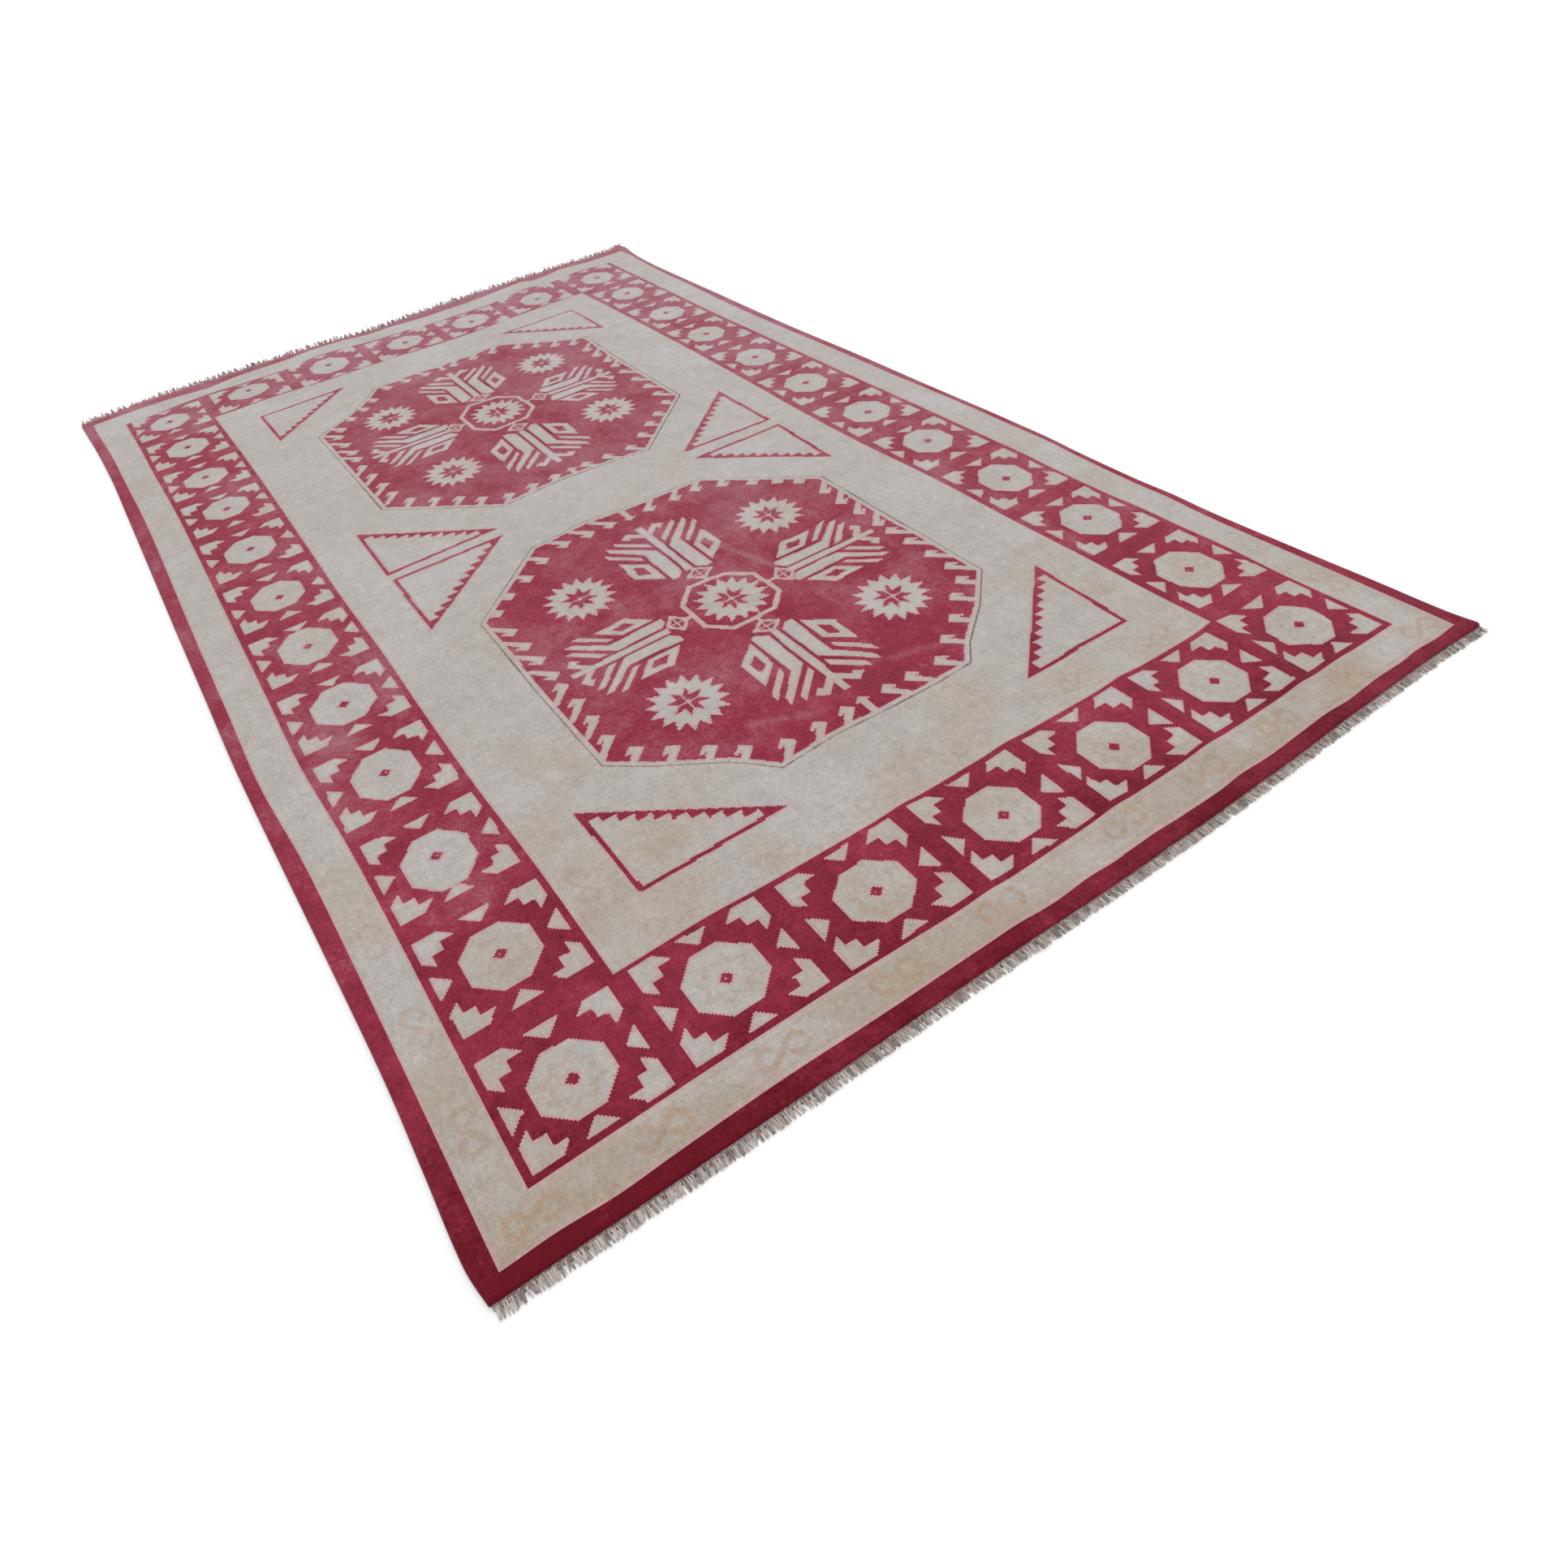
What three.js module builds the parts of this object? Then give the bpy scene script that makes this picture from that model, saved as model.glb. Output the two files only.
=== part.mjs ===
// A hand-knotted wool carpet lying flat, with its woven end webs and its fringes.
// Millimetres, +Z up. X runs across the width and Y along the length, from the near end at -Y
// to the far end at +Y. The origin is on the ground under the middle of the whole carpet.
import * as THREE from 'three';

// Driving dimensions
const HALF_LENGTH = 1530; // to the longest fringe strand at either end
const PILE_LENGTH = 2985; // along the middle, from one end row of knots to the other
const NEAR_PILE_Y = -1508;
const FAR_PILE_Y = NEAR_PILE_Y + PILE_LENGTH;
const PILE_HEIGHT = 6; // worn low pile on its woven ground
const WEB_WIDTH = 4;
const WEB_HEIGHT = 3;
const FRINGE_HEIGHT = 2;
const FRINGE_ROOT = 2.5; // the strands lie side by side this far before they part
const GAP = 0.3;
const SIDE_STEP = 60;
const END_STEP = 45;
const CORNER_POINTS = 3;

// Where the two long edges lie, in millimetres along the pile from the near end.
// The carpet is narrowest in its near half and flares at its two far corners.
const LONG_EDGES = [
  { along: 0, left: -868, right: 869 },
  { along: 60, left: -875, right: 864 },
  { along: 190, left: -873, right: 862 },
  { along: 340, left: -871, right: 857 },
  { along: 590, left: -875, right: 852 },
  { along: 840, left: -880, right: 856 },
  { along: 1090, left: -884, right: 864 },
  { along: 1340, left: -883, right: 862 },
  { along: 1640, left: -882, right: 862 },
  { along: 1940, left: -880, right: 857 },
  { along: 2290, left: -878, right: 860 },
  { along: 2490, left: -877, right: 861 },
  { along: 2740, left: -882, right: 864 },
  { along: 2890, left: -888, right: 873 },
  { along: PILE_LENGTH, left: -892, right: 892 },
];

// How far the two end rows of knots wander from straight, outwards from the near end (bow
// below zero) and from the far end (bow above zero).
const NEAR_END = [
  { across: -892, bow: 4 },
  { across: -560, bow: 0 },
  { across: -260, bow: -1 },
  { across: 90, bow: -5 },
  { across: 340, bow: -4 },
  { across: 540, bow: 3 },
  { across: 740, bow: 7 },
  { across: 892, bow: 8 },
];
const FAR_END = [
  { across: -892, bow: -24 },
  { across: -800, bow: -14 },
  { across: -680, bow: -2 },
  { across: -460, bow: 4 },
  { across: -200, bow: 0 },
  { across: -10, bow: -12 },
  { across: 120, bow: 0 },
  { across: 340, bow: 12 },
  { across: 590, bow: 18 },
  { across: 740, bow: 13 },
  { across: 892, bow: 24 },
];

// How round each corner is, as the length of edge that it takes up.
const CORNERS = { nearLeft: 8, nearRight: 22, farRight: 6, farLeft: 6 };

// The edge of the pile in section, from the ground up: it bulges low down and rounds over.
const EDGE_SECTION = [
  { height: 0, inset: 0.8 },
  { height: 2.2, inset: 0 },
  { height: 4.6, inset: 1.1 },
  { height: PILE_HEIGHT, inset: 3.6 },
];

// The fringes: strand bundles of uneven length, denser and shorter at the near end.
const FRINGES = {
  near: { pitch: 12, root: 9.6, tip: 7.2, shortest: 10, longest: 17, lean: 2, bald: 0.04 },
  far: { pitch: 14, root: 10.4, tip: 5.6, shortest: 9, longest: 36, lean: 4, bald: 0.12 },
};

// A smooth curve through the rows of a table, easing in and out of each row.
function along(table, key, value, at) {
  const last = table.length - 1;
  if (at <= table[0][key]) {
    return table[0][value];
  }
  if (at >= table[last][key]) {
    return table[last][value];
  }
  const after = table.findIndex((row) => row[key] > at);
  const from = table[after - 1];
  const to = table[after];
  const share = (at - from[key]) / (to[key] - from[key]);
  const before = table[Math.max(after - 2, 0)];
  const beyond = table[Math.min(after + 1, last)];
  const run = to[key] - from[key];
  const startSlope = (to[value] - before[value]) / (to[key] - before[key]);
  const endSlope = (beyond[value] - from[value]) / (beyond[key] - from[key]);
  const s2 = share * share;
  const s3 = s2 * share;
  return (
    (2 * s3 - 3 * s2 + 1) * from[value] +
    (s3 - 2 * s2 + share) * run * startSlope +
    (3 * s2 - 2 * s3) * to[value] +
    (s3 - s2) * run * endSlope
  );
}

const leftX = (y) => along(LONG_EDGES, 'along', 'left', y - NEAR_PILE_Y);
const rightX = (y) => along(LONG_EDGES, 'along', 'right', y - NEAR_PILE_Y);
const nearY = (x) => NEAR_PILE_Y + along(NEAR_END, 'across', 'bow', x);
const farY = (x) => FAR_PILE_Y + along(FAR_END, 'across', 'bow', x);

// Numbers from 0 to 1 that look uneven but are the same each time.
function uneven(index, series) {
  const wave = Math.sin(index * 12.9898 + series * 78.233) * 43758.5453;
  return wave - Math.floor(wave);
}

// Points from one place to another, as evenly as the step allows, without the last one.
function steps(from, to, step) {
  const count = Math.max(2, Math.round(Math.abs(to - from) / step));
  return Array.from({ length: count }, (_, i) => from + ((to - from) * i) / count);
}

// A round corner between two points on the edges, bent towards the sharp corner.
function roundCorner(from, corner, to) {
  const curve = new THREE.QuadraticBezierCurve(from, corner, to);
  return curve.getPoints(CORNER_POINTS).slice(1, -1);
}

// The outline of the pile, anticlockwise from the near left corner.
function pileOutline() {
  const corner = (x, y) => new THREE.Vector2(x, y);
  const nearLeft = corner(leftX(NEAR_PILE_Y), nearY(leftX(NEAR_PILE_Y)));
  const nearRight = corner(rightX(NEAR_PILE_Y), nearY(rightX(NEAR_PILE_Y)));
  const farRight = corner(rightX(FAR_PILE_Y), farY(rightX(FAR_PILE_Y)));
  const farLeft = corner(leftX(FAR_PILE_Y), farY(leftX(FAR_PILE_Y)));
  const { nearLeft: a, nearRight: b, farRight: c, farLeft: d } = CORNERS;
  const onNear = (x) => corner(x, nearY(x));
  const onFar = (x) => corner(x, farY(x));
  const onRight = (y) => corner(rightX(y), y);
  const onLeft = (y) => corner(leftX(y), y);
  return [
    ...steps(nearLeft.x + a, nearRight.x - b, END_STEP).map(onNear),
    onNear(nearRight.x - b),
    ...roundCorner(onNear(nearRight.x - b), nearRight, onRight(nearRight.y + b)),
    ...steps(nearRight.y + b, farRight.y - c, SIDE_STEP).map(onRight),
    onRight(farRight.y - c),
    farRight,
    ...steps(farRight.x - c, farLeft.x + d, END_STEP).map(onFar),
    onFar(farLeft.x + d),
    farLeft,
    ...steps(farLeft.y - d, nearLeft.y + a, SIDE_STEP).map(onLeft),
    onLeft(nearLeft.y + a),
    ...roundCorner(onLeft(nearLeft.y + a), nearLeft, onNear(nearLeft.x + a)),
  ];
}

// The outline moved inwards by a distance, each point along the mean of its two edges' normals.
function insetOutline(outline, distance) {
  const count = outline.length;
  return outline.map((point, i) => {
    const before = outline[(i + count - 1) % count];
    const after = outline[(i + 1) % count];
    const run = after.clone().sub(before).normalize();
    return new THREE.Vector2(point.x - run.y * distance, point.y + run.x * distance);
  });
}

// A closed slab: rings of the outline joined up the edge, with a flat face below and above.
function slab(outline, section) {
  const count = outline.length;
  const rings = section.map((row) => insetOutline(outline, row.inset));
  const places = rings.flatMap((ring, k) => ring.flatMap((p) => [p.x, p.y, section[k].height]));
  const faces = [];
  for (let k = 0; k + 1 < rings.length; k += 1) {
    for (let i = 0; i < count; i += 1) {
      const next = (i + 1) % count;
      const low = k * count;
      const high = low + count;
      faces.push(low + i, low + next, high + next);
      faces.push(low + i, high + next, high + i);
    }
  }
  const top = (rings.length - 1) * count;
  for (const [p, q, r] of THREE.ShapeUtils.triangulateShape(rings[0], [])) {
    faces.push(r, q, p);
  }
  for (const [p, q, r] of THREE.ShapeUtils.triangulateShape(rings[rings.length - 1], [])) {
    faces.push(top + p, top + q, top + r);
  }
  const geometry = new THREE.BufferGeometry();
  geometry.setAttribute('position', new THREE.Float32BufferAttribute(places, 3));
  geometry.setIndex(faces);
  geometry.computeVertexNormals();
  return geometry;
}

// A flat piece of even thickness with its underside on the ground.
function flatPiece(outline, height) {
  return new THREE.ExtrudeGeometry(new THREE.Shape(outline), { depth: height, bevelEnabled: false });
}

// The narrow web woven past the last knots. outwards is -1 at the near end and 1 at the far end.
function endWeb(edgeY, from, to, outwards) {
  const xs = [...steps(from, to, END_STEP), to];
  const inner = xs.map((x) => new THREE.Vector2(x, edgeY(x) + outwards * GAP));
  const outer = xs.map((x) => new THREE.Vector2(x, edgeY(x) + outwards * (GAP + WEB_WIDTH)));
  return flatPiece([...inner, ...outer.reverse()], WEB_HEIGHT);
}

// The warp ends left as a fringe: one comb whose teeth are strand bundles of uneven length.
function fringe(edgeY, from, to, outwards, sizes, series) {
  const start = 2 * GAP + WEB_WIDTH;
  const count = Math.floor((to - from) / sizes.pitch);
  const pitch = (to - from) / count;
  const root = (x) => new THREE.Vector2(x, edgeY(x) + outwards * start);
  const inner = [...steps(from, to, END_STEP), to].map(root);
  const teeth = [];
  for (let i = 0; i < count; i += 1) {
    const middle = from + (i + 0.5) * pitch;
    const bald = uneven(i, series) < sizes.bald;
    const share = bald ? 0 : uneven(i, series + 1);
    const reach = sizes.shortest + (sizes.longest - sizes.shortest) * share;
    const shift = sizes.lean * (2 * uneven(i, series + 2) - 1);
    const partY = edgeY(middle) + outwards * (start + FRINGE_ROOT);
    const tipY = THREE.MathUtils.clamp(
      edgeY(middle) + outwards * (start + reach), -HALF_LENGTH, HALF_LENGTH,
    );
    teeth.push(
      new THREE.Vector2(middle - sizes.root / 2, partY),
      new THREE.Vector2(middle - sizes.tip / 2 + shift, tipY),
      new THREE.Vector2(middle + sizes.tip / 2 + shift, tipY),
      new THREE.Vector2(middle + sizes.root / 2, partY),
    );
  }
  return flatPiece([...inner, ...teeth.reverse()], FRINGE_HEIGHT);
}

// A named piece in its own plain colour.
function piece(name, geometry, color, roughness) {
  const material = new THREE.MeshStandardMaterial({ color, roughness, metalness: 0 });
  const mesh = new THREE.Mesh(geometry, material);
  mesh.name = name;
  return mesh;
}

const carpet = new THREE.Group();
carpet.add(piece('rug_body', slab(pileOutline(), EDGE_SECTION), 0x96324a, 0.95));

const WEB_ENDS = {
  near: [leftX(NEAR_PILE_Y) + CORNERS.nearLeft, rightX(NEAR_PILE_Y) - CORNERS.nearRight],
  far: [leftX(FAR_PILE_Y) + CORNERS.farLeft, rightX(FAR_PILE_Y) - CORNERS.farRight],
};
const nearWeb = endWeb(nearY, ...WEB_ENDS.near, -1);
const farWeb = endWeb(farY, ...WEB_ENDS.far, 1);
carpet.add(piece('end_web_near', nearWeb, 0x5f4a4c, 0.95));
carpet.add(piece('end_web_far', farWeb, 0x5f4a4c, 0.95));

const nearFringe = fringe(nearY, ...WEB_ENDS.near, -1, FRINGES.near, 1);
const farFringe = fringe(farY, ...WEB_ENDS.far, 1, FRINGES.far, 5);
carpet.add(piece('fringe_near', nearFringe, 0xa89a8c, 0.9));
carpet.add(piece('fringe_far', farFringe, 0xa89a8c, 0.9));

export default carpet;
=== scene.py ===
# %% [markdown]
# # A hand-knotted wool carpet
#
# The real object is one piece of work from a loom: rows of wool knots on a woven ground, a
# narrow flat-woven web past the last row at each end, and the warp ends left as a fringe. This
# lesson builds it round a fixed model that already has the right size and place. The pattern is
# worked out as distances to a few charted shapes, so that every knot can take its colour from
# which side of a line it lies on.

# %% The fixed model
import math

import bpy
import numpy as np
from mathutils import Matrix, Vector


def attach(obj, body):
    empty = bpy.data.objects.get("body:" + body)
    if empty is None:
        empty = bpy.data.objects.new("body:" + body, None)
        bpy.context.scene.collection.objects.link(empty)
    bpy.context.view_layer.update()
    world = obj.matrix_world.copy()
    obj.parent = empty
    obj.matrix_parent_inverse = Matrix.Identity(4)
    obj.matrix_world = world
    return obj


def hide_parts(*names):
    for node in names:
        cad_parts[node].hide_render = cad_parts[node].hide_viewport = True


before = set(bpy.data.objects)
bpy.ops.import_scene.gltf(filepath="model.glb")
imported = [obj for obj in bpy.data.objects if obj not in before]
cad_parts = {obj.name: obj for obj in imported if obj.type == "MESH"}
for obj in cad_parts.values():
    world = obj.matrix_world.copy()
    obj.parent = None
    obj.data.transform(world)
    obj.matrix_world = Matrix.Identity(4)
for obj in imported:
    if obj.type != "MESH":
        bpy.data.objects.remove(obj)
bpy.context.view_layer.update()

MM = 0.001

# %% [markdown]
# ## Camera, floor and light
#
# The carpet is seen from just past its near end, close to its left side, by someone holding a
# wide lens a little above the waist. The camera is placed by its height and by three angles.
# The floor is plain and pale. One very large soft light comes from the far right, and the even
# sky fills the shadows, so the edges only cast a faint grey halo.

# %% Camera, floor and light
CAMERA_PLACE = (-0.7426, -2.0737, 1.0965)
CAMERA_HEADING = math.radians(28.45)  # from +Y towards +X
CAMERA_DOWN = math.radians(43.62)
CAMERA_ROLL = math.radians(-8.65)
LENS_MM = 23.94
SENSOR_MM = 36.0
FLOOR_HALF = 40.0
FLOOR_COLOUR = (0.93, 0.93, 0.93, 1)
SKY_STRENGTH = 0.90
SUN_ENERGY = 1.10
SUN_ANGLE = math.radians(50)
SUN_TILT = (math.radians(-42), math.radians(38), 0)


def camera_turn(heading, down, roll):
    """The camera's rotation: turn to the heading, tip down, then roll about the line of sight."""
    ahead = Vector((
        math.sin(heading) * math.cos(down), math.cos(heading) * math.cos(down), -math.sin(down),
    ))
    level = Vector((math.cos(heading), -math.sin(heading), 0))
    upright = level.cross(ahead)
    right = math.cos(roll) * level + math.sin(roll) * upright
    up = right.cross(ahead)
    return Matrix((right, up, -ahead)).transposed().to_4x4()


camera_data = bpy.data.cameras.new("camera")
camera_data.lens = LENS_MM
camera_data.sensor_width = SENSOR_MM
camera_data.clip_start = 0.01
camera = bpy.data.objects.new("camera", camera_data)
camera.matrix_world = (
    Matrix.Translation(CAMERA_PLACE) @ camera_turn(CAMERA_HEADING, CAMERA_DOWN, CAMERA_ROLL)
)
scene = bpy.context.scene
scene.collection.objects.link(camera)
scene.camera = camera
scene.view_settings.view_transform = "Standard"

floor_mesh = bpy.data.meshes.new("floor")
floor_mesh.from_pydata(
    [(-FLOOR_HALF, -FLOOR_HALF, 0), (FLOOR_HALF, -FLOOR_HALF, 0),
     (FLOOR_HALF, FLOOR_HALF, 0), (-FLOOR_HALF, FLOOR_HALF, 0)],
    [], [(0, 1, 2, 3)],
)
floor = bpy.data.objects.new("floor", floor_mesh)
scene.collection.objects.link(floor)
floor_paint = bpy.data.materials.new("floor_paint")
floor_paint.use_nodes = True
floor_shader = floor_paint.node_tree.nodes["Principled BSDF"]
floor_shader.inputs["Base Color"].default_value = FLOOR_COLOUR
floor_shader.inputs["Roughness"].default_value = 0.9
floor_shader.inputs["Specular IOR Level"].default_value = 0.0
floor.data.materials.append(floor_paint)

world = bpy.data.worlds.new("sky")
scene.world = world
world.use_nodes = True
world.node_tree.nodes["Background"].inputs["Color"].default_value = (1.0, 1.0, 1.0, 1)
world.node_tree.nodes["Background"].inputs["Strength"].default_value = SKY_STRENGTH

soft_sun = bpy.data.lights.new("soft_sun", "SUN")
soft_sun.energy = SUN_ENERGY
soft_sun.angle = SUN_ANGLE
soft_sun_object = bpy.data.objects.new("soft_sun", soft_sun)
soft_sun_object.rotation_euler = SUN_TILT
scene.collection.objects.link(soft_sun_object)
print("camera at", CAMERA_PLACE, "lens", LENS_MM)

# %% [markdown]
# ## The outline
#
# No hand-knotted carpet is a true rectangle. A warp is never strung quite evenly and no weaver
# beats every row down alike, so the sides wander and the far corners flare. Each edge is a short
# table of places and a smooth curve through them.

# %% The outline
PILE_LENGTH = 2985.0
NEAR_PILE_Y = -1508.0
FAR_PILE_Y = NEAR_PILE_Y + PILE_LENGTH
LOOM_WIDTH = 1740.0
PILE_TOP = 6.0

LONG_EDGES = {
    "along": (0, 60, 190, 340, 590, 840, 1090, 1340, 1640, 1940, 2290, 2490, 2740, 2890, 2985),
    "left": (-868, -875, -873, -871, -875, -880, -884, -883, -882, -880, -878, -877, -882, -888,
             -892),
    "right": (873, 865, 862, 857, 852, 856, 864, 862, 862, 857, 860, 861, 864, 873, 892),
}
NEAR_END = {
    "across": (-892, -560, -260, 90, 340, 540, 740, 892),
    "bow": (4, 0, -1, -5, -3, 3, 7, 4),
}
FAR_END = {
    "across": (-892, -800, -680, -460, -200, -10, 120, 340, 590, 740, 892),
    "bow": (-24, -14, -2, 4, 0, -12, 0, 12, 18, 13, 24),
}


def curve_through(keys, values, at):
    """A cubic through each pair of neighbouring rows whose slope at a row is that of the line
    between the rows on either side of it. Past the first and last row the value stays."""
    keys = np.asarray(keys, float)
    values = np.asarray(values, float)
    last = len(keys) - 1
    rows = np.arange(last + 1)
    before = np.maximum(rows - 1, 0)
    beyond = np.minimum(rows + 1, last)
    slope = (values[beyond] - values[before]) / (keys[beyond] - keys[before])
    place = np.clip(at, keys[0], keys[-1])
    row = np.clip(np.searchsorted(keys, place, side="right") - 1, 0, last - 1)
    run = keys[row + 1] - keys[row]
    share = (place - keys[row]) / run
    square = share * share
    cube = square * share
    return (
        (2 * cube - 3 * square + 1) * values[row] + (cube - 2 * square + share) * run * slope[row]
        + (3 * square - 2 * cube) * values[row + 1] + (cube - square) * run * slope[row + 1]
    )


def long_edge(side, y):
    return curve_through(LONG_EDGES["along"], LONG_EDGES[side], y - NEAR_PILE_Y)


def near_edge(x):
    return NEAR_PILE_Y + curve_through(NEAR_END["across"], NEAR_END["bow"], x)


def far_edge(x):
    return FAR_PILE_Y + curve_through(FAR_END["across"], FAR_END["bow"], x)


print("pile", LOOM_WIDTH, "by", PILE_LENGTH, "mm")

# %% [markdown]
# ## The lines of the border
#
# Between the edges run the lines of the guards and the border. On a real carpet each of them is
# one warp or one row of knots, counted off exactly, and it wanders only because the whole
# carpet does. So each line is listed twice: here as a curve on the floor, and then as a count
# of millimetres from the left or near edge of the grid.

# %% Lines of the border
SIDE_LINES = {
    "y": (-1412, -1204, -969, -733, -498, -266, -37, 204, 455, 688, 916, 1143, 1378),
    "left_guard": (-845, -845, -846, -849, -860, -858, -856, -853, -849, -847, -850, -853, -862),
    "left_outer": (-782, -782, -781, -783, -791, -788, -785, -782, -779, -778, -781, -782, -786),
    "left_inner": (-571, -570, -570, -575, -575, -573, -576, -574, -572, -571, -572, -575, -575),
    "right_inner": (565, 566, 571, 569, 571, 563, 564, 571, 575, 577, 579, 578, 577),
    "right_outer": (771, 768, 770, 768, 771, 771, 768, 767, 766, 765, 768, 771, 773),
    "right_guard": (837, 836, 833, 839, 847, 848, 842, 840, 835, 834, 841, 845, 858),
}
NEAR_X = (-778, -568, -420, -338, -107, 117, 341, 558, 762)
NEAR_GUARD_X = (-836, -776, -704, -632, -488, -320, -140, -50, 10, 60, 90, 268, 310, 380, 496,
                556, 640, 700, 736, 784, 836)
FAR_X = (-878, -732, -644, -548, -460, -380, -300, -230, -140, -44, 22, 122, 210, 306, 386, 478,
         520, 626, 690, 770, 892)
END_LINES = {
    "near_guard": (NEAR_GUARD_X, (
        -1479, -1478, -1482, -1480, -1478, -1481, -1482, -1486, -1484, -1486, -1485, -1487, -1485,
        -1485.5, -1481, -1483, -1479, -1479.5, -1477, -1479.5, -1477)),
    "near_outer": (NEAR_X, (-1414, -1412, -1412, -1413, -1419, -1417, -1415, -1414, -1414)),
    "near_inner": (NEAR_X, (-1218, -1215, -1212, -1216, -1219, -1219, -1223, -1224, -1224)),
    "far_inner": (FAR_X, (
        1176, 1176, 1176, 1177, 1183, 1184, 1177, 1174, 1176, 1178, 1172, 1167, 1169, 1180, 1186,
        1190, 1192, 1198, 1198, 1198, 1198)),
    "far_outer": (FAR_X, (
        1346, 1344, 1358, 1371, 1368, 1367, 1370, 1388, 1384, 1369, 1368, 1354, 1356, 1354, 1367,
        1388, 1372, 1386, 1391, 1383, 1380)),
    "far_guard": (FAR_X, (
        1416, 1434, 1431, 1422, 1441, 1446, 1448, 1456, 1456, 1440, 1443, 1434, 1435, 1441, 1450,
        1464, 1448, 1463, 1458, 1454, 1452)),
}


def side_line(name, y):
    return curve_through(SIDE_LINES["y"], SIDE_LINES[name], y)


def end_line(name, x):
    return curve_through(*END_LINES[name], x)


print("lines", len(SIDE_LINES) - 1 + len(END_LINES))

# %% [markdown]
# ## The pile's surface
#
# The pile is built as it is knotted: a grid in which every face is one knot, 3.5 mm each way. The
# edges and the lines of the border run along the grid, within half a millimetre of one of its
# lines, and the rest is spread evenly between them, so the rows and columns bend as real warps
# and wefts do. The outermost knots are split into narrow faces, where the wool rounds over to
# the ground, and each corner is worn round: a square patch of the grid there is squeezed into a
# quarter circle. The carpet lies flat, but it has been rolled and walked on. Low soft ridges are
# left in it, each one a hump that dies away smoothly to all sides.

# %% Grid of the pile
KNOT_PITCH = 3.5
SIDE_COUNTS = {
    "left_guard": 21.0, "left_outer": 94.5, "left_inner": 304.5,
    "right_inner": 1449.5, "right_outer": 1649.0, "right_guard": 1719.0,
}
END_COUNTS = {
    "near_guard": 28.0, "near_outer": 94.5, "near_inner": 290.5,
    "far_inner": 2688.0, "far_outer": 2877.0, "far_guard": 2950.5,
}
EDGE_SPLITS = (0.5, 1.6)
EDGE_ROUND = 5.0
EDGE_FOOT = 1.0
CORNER_WEAR = {"near_left": 3.5, "near_right": 9.0, "far_left": 6.0, "far_right": 6.0}


def knot_lines(length):
    """The lines between knots along a length, with the first and last knot split for the edge."""
    even = np.append(np.arange(0, length - 0.5 * KNOT_PITCH, KNOT_PITCH), length)
    splits = np.array(EDGE_SPLITS)
    return np.sort(np.concatenate([even, splits, length - splits]))


def worn_corners(from_left, from_near):
    """Squeeze each corner's square of the grid into a quarter circle. With u and v as the shares
    of the way out to the two edges, they become u * sqrt(1 - v*v/2) and v * sqrt(1 - u*u/2).
    Gives the new distances from the left and near edges, and the distance in from the edge."""
    across = from_left.copy()
    up = from_near.copy()
    inward = np.minimum(
        np.minimum(across, LOOM_WIDTH - across), np.minimum(up, PILE_LENGTH - up)
    )
    for name, radius in CORNER_WEAR.items():
        far, right = name.startswith("far"), name.endswith("right")
        side_gap = LOOM_WIDTH - from_left if right else from_left
        end_gap = PILE_LENGTH - from_near if far else from_near
        here = (side_gap < radius) & (end_gap < radius)
        u = 1 - side_gap[here] / radius
        v = 1 - end_gap[here] / radius
        u, v = u * np.sqrt(1 - v * v / 2), v * np.sqrt(1 - u * u / 2)
        across[here] = LOOM_WIDTH - radius * (1 - u) if right else radius * (1 - u)
        up[here] = PILE_LENGTH - radius * (1 - v) if far else radius * (1 - v)
        inward[here] = np.maximum(radius * (1 - np.hypot(u, v)), 0)
    return across, up, inward


def spread_between(count, counts, places):
    """Even spacing between neighbouring lines: the first line's place, and for each gap the
    share of it that the count has passed times its width."""
    place = places[0]
    for low, high, start, stop in zip(counts[:-1], counts[1:], places[:-1], places[1:]):
        place = place + (stop - start) * np.clip((count - low) / (high - low), 0, 1)
    return place


def on_the_floor(from_left, from_near):
    """Where a grid point lies, from its counts along and across."""
    y_even = NEAR_PILE_Y + from_near
    sides = [long_edge("left", y_even), *(side_line(name, y_even) for name in SIDE_COUNTS),
             long_edge("right", y_even)]
    x = spread_between(from_left, [0, *SIDE_COUNTS.values(), LOOM_WIDTH], sides)
    ends = [near_edge(x), *(end_line(name, x) for name in END_COUNTS), far_edge(x)]
    y = spread_between(from_near, [0, *END_COUNTS.values(), PILE_LENGTH], ends)
    return x, y


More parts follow.
